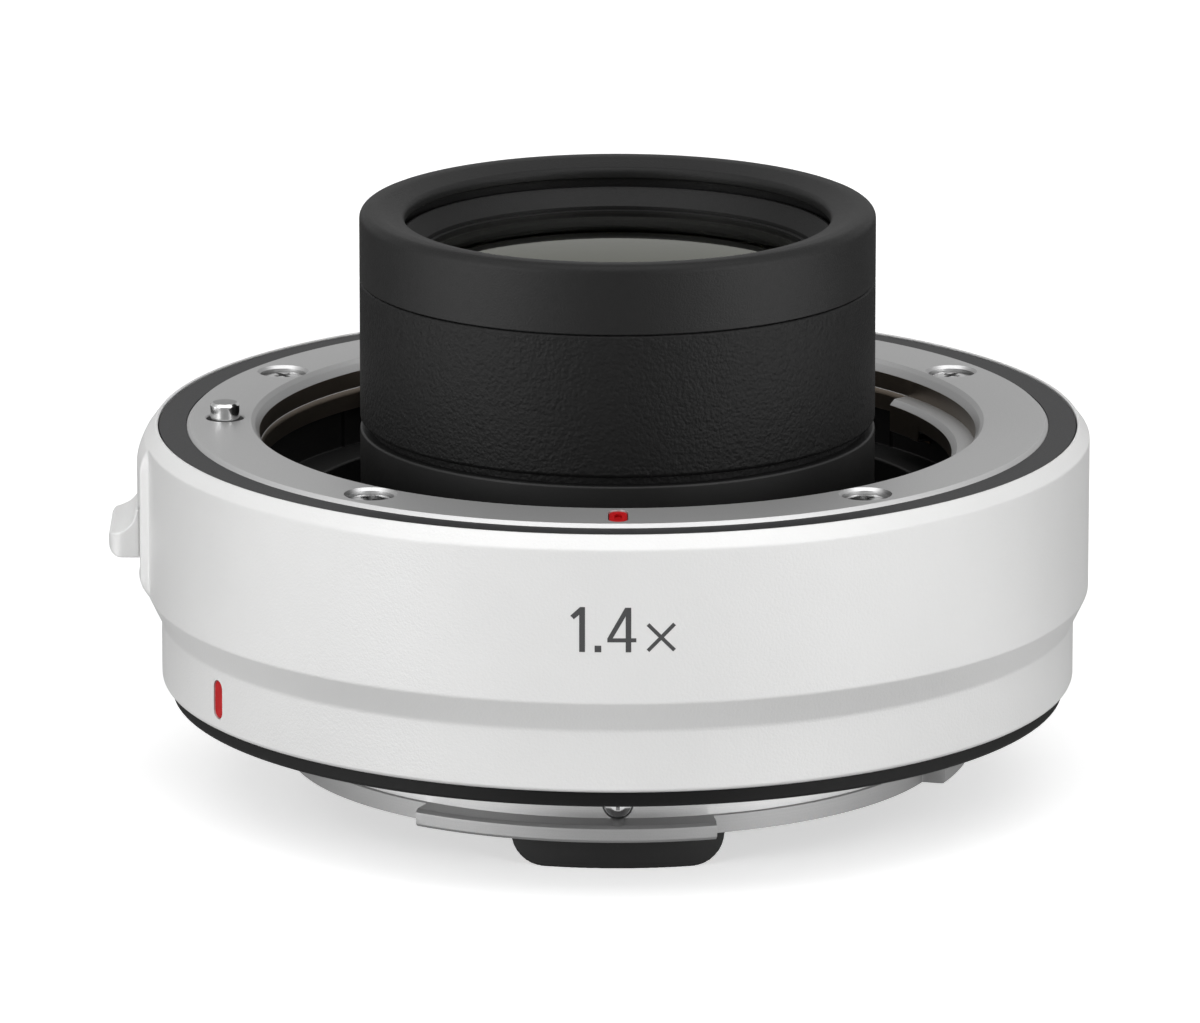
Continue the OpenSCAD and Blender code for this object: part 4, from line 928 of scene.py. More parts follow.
class TELE_OT_shell(bpy.types.Operator):
    """Makes the painted shell, with the pad and pocket of the lever"""
    bl_idname = "tele.shell"
    bl_label = "Shell"

    soft = 0.5 * MM
    crisp = 0.16 * MM
    skin = 0.02 * MM
    wall = 2.4 * MM
    step_low_round = 0.9 * MM
    step_high_round = 0.5 * MM
    chamfer_round = 0.35 * MM
    lip_flat = 0.22 * MM
    lip_out_round = 0.10 * MM
    lip_in_round = 0.17 * MM
    shelf_slope = 1.7 * MM
    foot_top = 4 * MM
    foot_step = 0.4 * MM
    mount_gap = 0.1 * MM
    mark_bed = 0.05 * MM
    pad_reach = 20.0

    def execute(self, context):
        size = context.scene.tele_sizes
        lever_low, lever_high = box("release_lever")
        self.pocket = (lever_low.z - size.lever_travel - size.lever_gap, lever_high.z + size.lever_gap)
        self.pocket_half = lever_high.y + size.lever_gap
        self.pocket_x = size.pad_r - size.pocket_depth
        heights = ramp_samples(size.pad_low + size.pad_slope / 2, size.pad_slope, 10)
        heights += ramp_samples(size.pad_high - size.pad_taper / 2, size.pad_taper, 14)
        heights += [h for border in self.pocket for h in ramp_samples(border, self.crisp)]
        to_az = math.degrees(1.0 / size.pad_r)
        sides = ramp_samples(size.pad_half, self.soft) + ramp_samples(self.pocket_half, self.crisp)
        near = [LOCK_AZ + sign * side * to_az for side in sides for sign in (-1, 1)]
        shell = lathe("painted_shell", self.profile(size, sorted(heights)), azimuths=turn_with(near),
                      form=lambda az, r, z: self.form(size, az, r, z))
        bed = prism("bed", bar_outline(*(side + MARK_GAP for side in REAR_MARK)), 2 * MM)
        carve(shell, [move(bed, rear_mark_seat(REAR_MARK_SINK + self.mark_bed))])
        dress(shell, "housing", "shell_white", "outer_shell")
        return {"FINISHED"}

    def profile(self, size, heights):
        """The shell's wall, with extra rows where the pad and the pocket begin and end."""
        r, low, shelf = radius("outer_shell"), bottom("outer_shell"), bottom("front_mount")
        high = top("front_mount") - size.lip_drop
        inner_r, wall_r = radius("rear_mount") + self.mount_gap, r - self.wall
        crest_r = size.lip_r + self.lip_flat
        points = rounded([
            (inner_r, low, 0), (size.shell_rear_r, low, size.edge_round),
            (size.shell_rear_r, size.step_low, self.step_low_round),
            (r, size.step_high, self.step_high_round),
            (r, high - size.lip_chamfer, self.chamfer_round), (crest_r, high, self.lip_out_round),
            (size.lip_r, high, self.lip_in_round), (size.lip_r, shelf, 0),
            (wall_r, shelf - self.shelf_slope, 0), (wall_r, size.step_high, 0),
            (inner_r + self.foot_step, self.foot_top, 0), (inner_r, size.flange_t, 0)])
        row_gap = 10 * TINY
        split = []
        for i, (point_r, z) in enumerate(points):
            split.append((point_r, z))
            next_r, next_z = points[(i + 1) % len(points)]
            if abs(next_r - point_r) < TINY and next_z > z and point_r > crest_r:
                split += [(point_r, h) for h in heights if z + row_gap < h < next_z - row_gap]
        return split

    def form(self, size, az, r, z):
        """The outer wall, where the pad stands proud and the pocket is sunk into it."""
        shell_r = radius("outer_shell")
        if r < shell_r - self.skin or abs(az - LOCK_AZ) > self.pad_reach:
            return r, z
        off = math.radians(az - LOCK_AZ)
        rise = step_mask(off * size.pad_r, size.pad_half, self.soft)
        for way in ((z - size.pad_low) / size.pad_slope, (size.pad_high - z) / size.pad_taper):
            rise *= math.sin(max(0.0, min(1.0, way)) * math.pi / 2)
        proud = r + (size.pad_r - shell_r) * rise
        low, high = self.pocket
        sunk = step_mask(off * size.pad_r, self.pocket_half, self.crisp)
        sunk *= step_mask(z - (low + high) / 2, (high - low) / 2, self.crisp)
        return proud + (self.pocket_x / math.cos(off) - proud) * sunk, z


class TELE_OT_number(bpy.types.Operator):
    """Prints the plain magnification number on the front of the shell"""
    bl_idname = "tele.number"
    bl_label = "Number"

    # Outlines in millimetres along the wall and up it: the one, the point, then the stem, the bar and the
    # slope of the four, and both strokes of the cross
    outlines = (
        ((-2.76, 3.37), (-2.41, 3.37), (-2.41, 0.0), (-2.83, 0.0), (-2.83, 2.79), (-3.22, 2.44),
         (-3.47, 2.71)),
        ((-1.71, 0.0), (-1.23, 0.0), (-1.23, 0.49), (-1.71, 0.49)),
        ((0.54, 0.0), (0.94, 0.0), (0.94, 3.34), (0.54, 3.34)),
        ((-0.79, 0.75), (1.31, 0.75), (1.31, 1.05), (-0.79, 1.05)),
        ((0.50, 3.34), (0.58, 3.34), (0.58, 2.76), (-0.41, 1.03), (-0.79, 1.03)),
        ((2.06, 1.97), (3.99, 0.01), (4.19, 0.20), (2.25, 2.17)),
        ((2.06, 0.20), (2.25, 0.01), (4.19, 1.97), (3.99, 2.17)),
    )
    base = 11.56 * MM
    thick = 0.03 * MM
    cut_pitch = 0.35 * MM
    cuts = range(-12, 16)

    def execute(self, context):
        r = radius("outer_shell")
        parts = [move(prism("stroke", [(u * MM, v * MM) for u, v in outline], self.thick),
                      Matrix.Translation((0, 0, -self.thick / 2))) for outline in self.outlines]
        piece = parts[0]
        carve(piece, parts[1:], "UNION")
        piece.name = "magnification_number"
        shape = bmesh.new()
        shape.from_mesh(piece.data)
        for k in self.cuts:
            bmesh.ops.bisect_plane(shape, geom=[*shape.verts, *shape.edges, *shape.faces],
                                   plane_co=(k * self.cut_pitch, 0, 0), plane_no=(1, 0, 0))
        for vert in shape.verts:
            u, v, depth = vert.co
            vert.co = polar(math.degrees(u / r), r + depth, self.base + v)
        shape.to_mesh(piece.data)
        shape.free()
        dress(piece, "housing", "trim_dark", look="ink")
        return {"FINISHED"}


class TELE_OT_marks(bpy.types.Operator):
    """Makes the two red index marks and the dark ring inside the lip"""
    bl_idname = "tele.marks"
    bl_label = "Marks and trim"

    rear_thick = 0.45 * MM
    rear_bevel = 0.14 * MM
    front_bevel = 0.12 * MM
    dimple = (1.9 * MM, 0.55 * MM)
    dimple_depth = 0.25 * MM
    trim_gap = 0.02 * MM
    trim_round = 0.03 * MM

    def execute(self, context):
        rear = prism("rear_mark", bar_outline(*REAR_MARK), self.rear_thick, self.rear_bevel)
        dress(move(rear, rear_mark_seat(REAR_MARK_SINK)), "housing", "mark_red", "rear_index_mark")
        low, high = box("front_index_mark")
        front = front_mark_bar("front_mark", 0.0, high.z - low.z, self.front_bevel)
        dimple_seat = Matrix.Translation((0, middle("front_index_mark").y, high.z - self.dimple_depth))
        carve(front, [move(prism("dimple", bar_outline(*self.dimple), MM), dimple_seat @ QUARTER_TURN)])
        dress(front, "housing", "mark_red", "front_index_mark")
        inner_r, r = radius("front_mount") + self.trim_gap, radius("trim_ring")
        low, high = bottom("trim_ring"), top("trim_ring")
        trim = lathe("trim_band", rounded([
            (inner_r, low, 0), (r, low, 0), (r, high, self.trim_round), (inner_r, high, self.trim_round)]))
        dress(trim, "housing", "trim_dark", "trim_ring")
        return {"FINISHED"}


class TELE_OT_front_mount(bpy.types.Operator):
    """Makes the front bayonet with its claws and screws"""
    bl_idname = "tele.front_mount"
    bl_label = "Front bayonet"

    # Spans of azimuths in degrees
    claws = ((-75.8, 24.0), (76.7, 124.6), (174.2, 223.6))
    stop = ((113.8, 124.6),)
    stop_drop = 0.9 * MM
    rim_chamfer = 0.34 * MM
    facet_out = 0.32 * MM
    facet_drop = 0.28 * MM
    relief = 0.6 * MM
    edge = 0.05 * MM
    facet_edge = 0.04 * MM
    claw_slant = 0.02 * MM
    claw_root = 0.1 * MM
    claw_edge = 0.06 * MM
    claw_foot_edge = 0.08 * MM
    lock_mouth = (0.085 * MM, 0.08 * MM)
    # Faces that rise less than this are slopes, and points as near as this to a form count as part of it
    slope = 0.95
    foot_zone = 0.15 * MM
    well_zone = 0.2 * MM
    skin = 0.05 * MM
    hair = 0.01 * MM

    def execute(self, context):
        size = context.scene.tele_sizes
        low, face, r = bottom("front_mount"), top("front_mount"), radius("front_mount")
        throat, claw_top, claw_low = size.throat_r, face - size.claw_drop, low + self.claw_slant
        ring = lathe("front_bayonet", rounded([
            (throat + self.relief, low, 0), (r, low, 0), (r, face - self.rim_chamfer, self.edge),
            (r - self.rim_chamfer, face, self.edge), (throat + size.throat_chamfer, face, self.facet_edge),
            (throat + self.facet_out, face - self.facet_drop, self.facet_edge),
            (throat, face - size.throat_chamfer_h, self.edge), (throat, claw_top, 0),
            (size.claw_r + size.claw_chamfer, claw_top - self.claw_slant, self.claw_edge),
            (size.claw_r, claw_top - size.claw_chamfer, self.claw_edge),
            (size.claw_r, claw_low, self.claw_foot_edge), (throat - self.claw_root, claw_low, 0)]),
            azimuths=span_azimuths(self.claws + self.stop),
            form=lambda az, r, z: self.form(size, claw_top, low, az, r, z))
        hole = hole_cutter(LOCK_HOLE_R, face - low + MM, MM, self.lock_mouth)
        move(hole, seat(LOCK_AZ, size.screw_circle, face))
        carve(ring, [*mount_wells(face, Matrix.Identity(4)), hole, front_mark_bar("bed", MARK_GAP, 2 * MM)])
        dress(ring, "housing", "mount_steel", "front_mount")
        well_r = WELL_R + self.well_zone
        # Painted shade: the steel walls inside the throat take the darkened bore steel
        repaint(ring, "bore_steel", lambda at, way: abs(way.z) < STEEP and at.xy.length < throat + self.skin)
        repaint(ring, "lead_in_steel", lambda at, way: at.z < face - self.hair and any(
            (at - polar(az, size.screw_circle, at.z)).length < well_r for az in SCREW_AZ))
        repaint(ring, "lead_in_steel", lambda at, way: way.z < self.slope and
                face - size.throat_chamfer_h < at.z < face and at.xy.length < throat + size.throat_chamfer)
        mount_screws("front_screws", "front_mount_screws", face, Matrix.Identity(4))
        keep("spring_bronze", "bayonet_springs", "pin_bush")
        return {"FINISHED"}

    def form(self, size, claw_top, low, az, r, z):
        """The bore: claws in their spans, a narrow seat between them, and a stop under the end of one."""
        if r > size.throat_r - self.skin or z > claw_top - self.hair:
            return r, z
        drop = self.stop_drop * in_spans(az, self.stop) if z < low + self.foot_zone else 0.0
        between = max(size.throat_r - min(claw_top - z, size.claw_seat), r)
        return between + (r - between) * in_spans(az, self.claws), z - drop


class TELE_OT_throat(bpy.types.Operator):
    """Makes the black liner of the throat and the front contacts in its floor"""
    bl_idname = "tele.throat"
    bl_label = "Throat"

    seams = (-129.0, 129.0)
    seam_half = 0.2
    seam_depth = 0.22 * MM
    step_depth = 0.06 * MM
    wall_gap = 0.2 * MM
    wall_edge = 0.1 * MM
    rim_gap = 0.02 * MM
    ledge_root = 0.12 * MM
    ledge_edge = 0.2 * MM
    floor_root = 0.3 * MM
    collar_top = 19.81 * MM
    collar_wall = 1.8 * MM
    collar_edge = 0.18 * MM
    base_rise = 7 * MM
    lock_half = 15.0
    lock_wall = 0.8 * MM
    # Points as far as this outside the wall lie at the lock's works, and as near as this on the wall
    lock_zone = 1.0 * MM
    skin = 0.05 * MM
    block_edge = 0.18 * MM
    block_soft = 0.12 * MM
    block_r = (19.95 * MM, 23.55 * MM)
    block_span = (-20.0, 20.0)
    pin_r = 0.375 * MM
    pin_foot_r = 0.47 * MM
    pin_foot_h = 0.6 * MM
    pin_slant = 0.02 * MM
    pin_travel = 1.0 * MM
    coil_r = 0.3 * MM
    coil_wire = 0.08 * MM

    def execute(self, context):
        size = context.scene.tele_sizes
        wall_r, outer_r = size.throat_r + self.wall_gap, radius("inner_frame")
        barrel_r, collar_r = radius("front_barrel"), radius("front_barrel") - self.collar_wall
        rim, under = bottom("front_mount") - self.rim_gap, bottom("inner_frame") + self.base_rise
        near = [seam + step * 0.16 for seam in self.seams for step in range(-3, 4)]
        liner = lathe("throat_liner", rounded([
            (collar_r, under, 0), (outer_r, under, 0), (outer_r, rim, 0), (wall_r, rim, self.wall_edge),
            (wall_r, size.ledge_z, self.ledge_root), (size.ledge_r, size.ledge_z, self.ledge_edge),
            (size.ledge_r, size.floor_z, self.floor_root), (barrel_r, size.floor_z, self.floor_root),
            (barrel_r, self.collar_top, self.collar_edge), (collar_r, self.collar_top, 0)]),
            azimuths=turn_with(near), form=lambda az, r, z: self.form(wall_r, az, r, z))
        dress(liner, "housing", "frame_black", "inner_frame")
        low, high = bottom("front_contact_block"), top("front_contact_block")
        block = lathe("front_contact_insulator", box_profile(*self.block_r, low, high, self.block_edge),
                      span=self.block_span)
        dress(soften_edges(block, self.block_soft), "housing", "frame_black", "front_contact_block")
        for i in range(1, CONTACTS + 1):
            self.pin(i)
        return {"FINISHED"}

    def form(self, wall_r, az, r, z):
        """The wall's seams with the shallow step between them, and the room for the lock outside it."""
        if r > wall_r + self.lock_zone:
            return r + (wall_r + self.lock_wall - r) * step_mask(az - LOCK_AZ, self.lock_half, 1.0), z
        if abs(r - wall_r) > self.skin:
            return r, z
        groove = max(step_mask(az - seam, self.seam_half, self.seam_half) for seam in self.seams)
        step = step_mask(abs(az) - 180.0, 180.0 - self.seams[1], 0.3)
        return r + self.seam_depth * groove - self.step_depth * step, z

    def pin(self, i):
        """One sprung contact pin with its foot and round tip, and the coil under it."""
        node = f"contact_pin_{i}"
        low, high, spot = bottom(node), top(node), middle(node)
        pin = spindle(f"contact_tip_{i}", [
            (0, 0), (self.pin_foot_r, 0), (self.pin_foot_r, self.pin_foot_h),
            (self.pin_r, self.pin_foot_h + self.pin_slant), *round_tip(self.pin_r, high - low)])
        move(pin, Matrix.Translation((spot.x, spot.y, low)))
        dress(pin, f"contact_{i}", "contact_gold", node)
        spring(f"contact_coil_{i}", "contact_springs", spot,
               self.coil_r, self.coil_wire, turns=4, steps=16, sides=6)


class TELE_OT_barrel(bpy.types.Operator):
    """Makes the crinkle barrel, the front ring and the retainer inside it"""
    bl_idname = "tele.barrel"
    bl_label = "Barrel"

    foot = 20.42 * MM
    foot_root = 0.1 * MM
    foot_round = 0.35 * MM
    wall = 2.2 * MM
    undercut = 0.8 * MM
    hidden = 3 * MM
    seam_below = 0.02 * MM
    seam_above = 0.05 * MM
    seam_round = 0.20 * MM
    seam_edge = 0.06 * MM
    spigot = 0.25 * MM
    spigot_h = 2 * MM
    spigot_root = 0.02 * MM
    rim_out_round = 1.0 * MM
    rim_crest_round = 2.0 * MM
    rim_in_round = 0.6 * MM
    rim_drop = 1.33 * MM
    rim_edge = 0.12 * MM
    ledge = 0.4 * MM
    skin = 0.1 * MM
    retainer_r = (15.0 * MM, 16.35 * MM)
    retainer_flat = 0.2 * MM
    retainer_foot = 0.3 * MM
    retainer_edges = (0.06 * MM, 0.05 * MM)

    def execute(self, context):
        size = context.scene.tele_sizes
        r, seam, rim = radius("front_ring"), top("front_barrel"), top("front_ring")
        bore, waist = r - self.wall, r - self.undercut
        low, end = bottom("front_barrel") + self.hidden, seam - self.seam_below
        barrel = lathe("crinkle_barrel", rounded([
            (bore, low, 0), (waist, low, 0), (waist, self.foot, self.foot_root),
            (r, self.foot, self.foot_round), (r, end, self.seam_round), (bore, end, 0)]))
        dress(barrel, "housing", "barrel_black", "front_barrel")
        repaint(barrel, "cell_black", lambda at, way: at.xy.length < bore + self.skin)
        joint, joint_r = seam - self.spigot_h, r - self.spigot
        start, lip = seam + self.seam_above, rim - self.rim_drop
        ring = lathe("front_rim", rounded([
            (bore, joint, 0), (joint_r, joint, 0), (joint_r, start, self.spigot_root),
            (r, start, self.seam_edge),
            (r, rim, self.rim_out_round), (size.rim_crest_r, rim, self.rim_crest_round),
            (size.rim_in_r, rim - size.rim_fall, self.rim_in_round), (size.rim_in_r, lip, self.rim_edge),
            (bore - self.ledge, lip, 0)]))
        dress(ring, "housing", "ring_black", "front_ring")
        shelf, crest = bottom("front_retainer"), top("front_retainer")
        inner, outer = self.retainer_r
        crest_edge, foot_edge = self.retainer_edges
        retainer = lathe("front_glass_retainer", rounded([
            (inner, shelf, 0), (outer, shelf, 0), (outer, crest, crest_edge),
            (outer - self.retainer_flat, crest, crest_edge), (inner, shelf + self.retainer_foot, foot_edge)]))
        dress(retainer, "housing", "ring_black", "front_retainer")
        return {"FINISHED"}


class TELE_OT_optics(bpy.types.Operator):
    """Makes the seven glasses and finishes the cell that holds them"""
    bl_idname = "tele.optics"
    bl_label = "Optics"

    # Curves of each glass in millimetres, rear face then front: positive bulges forwards
    curves = ((200, 150), (-40, 60), (40, -40), (25, 80), (-30, 25), (70, -30), (-200, 60))
    steps = 20
    segments = 128

    def execute(self, context):
        for i, (rear, front) in enumerate(self.curves, 1):
            self.glass(f"glass_{i}", f"element_{i}", rear * MM, front * MM)
        keep("cell_black", "lens_cell", "rear_retainer", "cell_spacer_1", "cell_spacer_2")
        keep("fastener_steel", "cell_screws")
        return {"FINISHED"}

    def face(self, level, curve, r, front):
        """Points of a face from the axis to the edge. The node's box gives its outermost level."""
        def sag(here):
            return abs(curve) - math.sqrt(curve * curve - here * here)
        bulges_out = (curve > 0) == front
        vertex = level if bulges_out else level - math.copysign(sag(r), 1 if front else -1)
        places = [r * i / self.steps for i in range(self.steps + 1)]
        return [(here, vertex - math.copysign(sag(here), curve)) for here in places]

    def glass(self, name, node, rear, front):
        """One glass between its two spherical faces."""
        r = radius(node)
        lower = self.face(bottom(node), rear, r, False)
        upper = self.face(top(node), front, r, True)
        piece = spindle(name, lower + upper[::-1], self.segments)
        in_front = node == "element_1"
        # Painted shade: the glasses behind the front one take the darkened inner glass
        dress(piece, "housing", "lens_glass", node, look="lens_glass" if in_front else "inner_glass")
        repaint(piece, "cell_black", lambda at, way: abs(way.z) < STEEP)
        if in_front:
            # Painted shade: the front glass's rear faces take the darkened inner glass
            repaint(piece, "inner_glass", lambda at, way: way.z < -STEEP)


class TELE_OT_rear_mount(bpy.types.Operator):
    """Makes the rear bayonet with its tabs and screws, the seal and the baffle"""
    bl_idname = "tele.rear_mount"
    bl_label = "Rear bayonet"

    # Spans of azimuths in degrees
    tabs = ((-34.6, 16.5), (66.0, 114.0), (165.0, 224.0))
    tab_chamfer = 0.25 * MM
    tab_foot = 0.22 * MM
    tab_edge = 0.08 * MM
    tab_slant = 0.06 * MM
    rim_chamfer = 0.2 * MM
    edge = 0.05 * MM
    pilot_round = 0.2 * MM
    waist_root = 0.1 * MM
    waist_edge = 0.04 * MM
    neck_edge = 0.1 * MM
    bore_edge = 0.15 * MM
    # Points as near as this to a form count as part of it
    bore_zone = 0.5 * MM
    hair = 0.01 * MM
    socket_depth = 1.8 * MM
    socket_mouth = (0.105 * MM, 0.1 * MM)
    neck_well_r = 1.15 * MM
    neck_well_depth = 0.62 * MM
    seal_gap = 0.05 * MM
    seal_lip = 0.6 * MM
    seal_taper = 0.3 * MM
    seal_root = 0.1 * MM
    seal_lip_rounds = (0.2 * MM, 0.28 * MM)
    baffle_r = (16.3 * MM, 18.6 * MM)
    baffle_gap = 0.2 * MM
    baffle_steps = 4
    tread_edge = 0.08 * MM
    baffle_edges = (0.15 * MM, 0.25 * MM)
    notch_r = 19.9 * MM
    notch_span = (-27.5, 27.5)

    def execute(self, context):
        size = context.scene.tele_sizes
        low, r, rim = bottom("rear_mount"), radius("rear_mount"), self.rim_chamfer
        upper, lower = -size.tab_drop, -size.tab_drop - size.tab_t
        ring = lathe("rear_bayonet", rounded([
            (size.neck_in_r, size.flange_t, 0), (r, size.flange_t, 0), (r, rim, self.edge),
            (r - rim, 0, self.edge), (size.pilot_r, 0, self.edge),
            (size.pilot_r, -size.pilot_h, self.pilot_round), (size.waist_r, -size.pilot_h, self.waist_root),
            (size.waist_r, upper, self.waist_edge),
            (size.pilot_r - self.tab_chamfer, upper - self.hair, self.tab_edge),
            (size.pilot_r, upper - self.tab_chamfer, self.tab_edge),
            (size.pilot_r, lower + self.tab_foot, self.tab_edge), (size.pilot_r - rim, lower, self.tab_edge),
            (size.neck_r - self.tab_slant, lower, 0), (size.neck_r - rim, low, self.neck_edge),
            (size.neck_in_r, low, self.bore_edge)]),
            azimuths=span_azimuths(self.tabs), form=lambda az, r, z: self.form(size, upper, az, r, z))
        socket = hole_cutter(LOCK_HOLE_R, self.socket_depth, MM, self.socket_mouth)
        move(socket, seat(LOCK_AZ, size.screw_circle, 0.0) @ FLIP)
        neck_well = hole_cutter(self.neck_well_r, self.neck_well_depth, 4 * MM)
        move(neck_well, seat(0, size.waist_r, NECK_SCREW_Z, 90))
        carve(ring, [*mount_wells(0.0, FLIP), socket, neck_well])
        dress(ring, "housing", "mount_steel", "rear_mount")
        # Painted light: the neck's waist takes a lighter copy of the steel
        repaint(ring, "waist_steel", lambda at, way: upper < at.z < -size.pilot_h and
                size.neck_in_r + self.bore_zone < at.xy.length < size.waist_r + self.hair)
        # Painted shade: the tabs take a darker copy of the steel
        repaint(ring, "tab_steel", lambda at, way: at.z < upper)
        mount_screws("rear_screws", "rear_mount_screws", 0.0, FLIP)
        self.seal()
        self.baffle(size)
        keep("spring_bronze", "mount_shim", "spring_seat")
        return {"FINISHED"}

    def form(self, size, upper, az, r, z):
        """Tabs in their spans, and the plain neck between them."""
        if r < size.neck_r or z > upper:
            return r, z
        return size.neck_r + (r - size.neck_r) * in_spans(az, self.tabs), z

    def seal(self):
        """The rubber seal's ring with its soft lip."""
        low, high, r = bottom("rear_gasket"), top("rear_gasket"), radius("rear_gasket")
        inner = radius("rear_mount") + self.seal_gap
        lip_in, lip_out = self.seal_lip_rounds
        seal = lathe("rear_seal", rounded([
            (inner, low / 3, self.seal_root), (r - self.seal_lip, low, lip_in), (r, low, lip_out),
            (r - self.seal_taper, high, self.edge), (inner, high, 0)]))
        dress(seal, "housing", "gasket_rubber", "rear_gasket")

    def baffle(self, size):
        """The stepped black baffle, open where the contact block passes it."""
        low, high = bottom("rear_baffle"), top("rear_baffle")
        inner, outer = self.baffle_r
        edge, tread = size.neck_in_r - self.baffle_gap, (outer - inner) / self.baffle_steps
        in_edge, out_edge = self.baffle_edges
        corners = [(inner, high, 0)]
        for i in range(self.baffle_steps):
            level = low * i / self.baffle_steps
            corners += [(inner + tread * k, level, self.tread_edge) for k in (i, i + 1)]
        corners += [(outer, low, in_edge), (edge, low, out_edge), (edge, size.flange_t, 0),
                    (size.neck_r, size.flange_t, 0), (size.neck_r, high, 0)]
        baffle = lathe("rear_light_trap", rounded(corners))
        notch = lathe("notch", box_profile(self.notch_r, size.neck_r + MM, low - MM, high + MM, 0),
                      span=self.notch_span)
        dress(carve(baffle, [notch]), "housing", "frame_black", "rear_baffle")


class TELE_OT_rear_contacts(bpy.types.Operator):
    """Makes the rear contact block with its pads and its screw"""
    bl_idname = "tele.rear_contacts"
    bl_label = "Rear contacts"

    pad_r = 0.42 * MM
    pad_edge = 0.08 * MM
    pad_dish = (0.03 * MM, 0.04 * MM)
    pad_segments = 32
    pad_circle = 21.75 * MM
    pad_pitch = 3.0
    block_voxel = 0.075 * MM

    def execute(self, context):
        block = softened("rear_contact_insulator", "rear_contact_block", self.block_voxel)
        dress(block, "housing", "frame_black", "rear_contact_block")
        low, high, r = bottom("rear_contact_pads"), top("rear_contact_pads"), self.pad_r
        half_way, centre = self.pad_dish
        pad = spindle("pad", [(0, high), (r, high), (r, low + self.pad_edge), (r - self.pad_edge, low),
                              (r / 2, low + half_way), (0, low + centre)], self.pad_segments)
        azimuths = [(i - (CONTACTS - 1) / 2) * self.pad_pitch for i in range(CONTACTS)]
        places = [Matrix.Translation(polar(az, self.pad_circle, 0)) for az in azimuths]
        dress(copies("rear_contact_faces", pad, places), "housing", "contact_gold", "rear_contact_pads")
        screw = cross_screw("radial_screw", head_r=1.1 * MM, head_h=0.6 * MM, shank_r=0.45 * MM,
                            shank_l=2.6 * MM)
        move(screw, seat(0, context.scene.tele_sizes.waist_r, NECK_SCREW_Z, 90))
        dress(screw, "housing", "fastener_steel", "contact_block_screw")
        return {"FINISHED"}


class TELE_OT_release(bpy.types.Operator):
    """Makes the release lever, the lock pin and its coil, and finishes the carrier inside"""
    bl_idname = "tele.release"
    bl_label = "Release"

    lever_voxel = 0.07 * MM
    pin_chamfer = 0.2 * MM
    pin_edge = 0.06 * MM
    pin_foot_round = 0.1 * MM
    pin_segments = 96
    pin_flat = 0.9
    coil_r = 1.55 * MM
    coil_wire = 0.44 * MM

    def execute(self, context):
        lever = softened("finger_lever", "release_lever", self.lever_voxel)
        dress(lever, "release", "shell_white", "release_lever")
        low, high = box("lock_pin")
        r, tall, chamfer = (high.y - low.y) / 2, high.z - low.z, self.pin_chamfer
        pin = spindle("steel_lock_pin", rounded([
            (0, 0, 0), (r, 0, self.pin_foot_round), (r, tall - chamfer, self.pin_edge),
            (r - chamfer, tall, self.pin_edge), (0, tall, 0)]), self.pin_segments)
        spot = middle("lock_pin")
        move(pin, Matrix.Translation((spot.x, spot.y, low.z)))
        dress(pin, "release", "fastener_steel", "lock_pin")
        # Painted shade: the pin's flat end takes the darker tab steel
        repaint(pin, "tab_steel", lambda at, way: way.z > self.pin_flat)
        keep("carrier_grey", "lever_carrier", "pin_clip")
        keep("fastener_steel", "lever_screws")
        spring("lock_coil", "lock_spring", middle("lock_spring"),
               self.coil_r, self.coil_wire, turns=5)
        return {"FINISHED"}


class TELE_OT_works(bpy.types.Operator):
    """Finishes the circuit boards and other works inside the shell"""
    bl_idname = "tele.works"
    bl_label = "Inner works"

    def execute(self, context):
        keep("board_green", "main_board", "contact_board")
        keep("chip_black", "board_chips")
        keep("flex_amber", "flex_cable")
        keep("fastener_steel", "board_screws", "front_contact_screws")
        return {"FINISHED"}


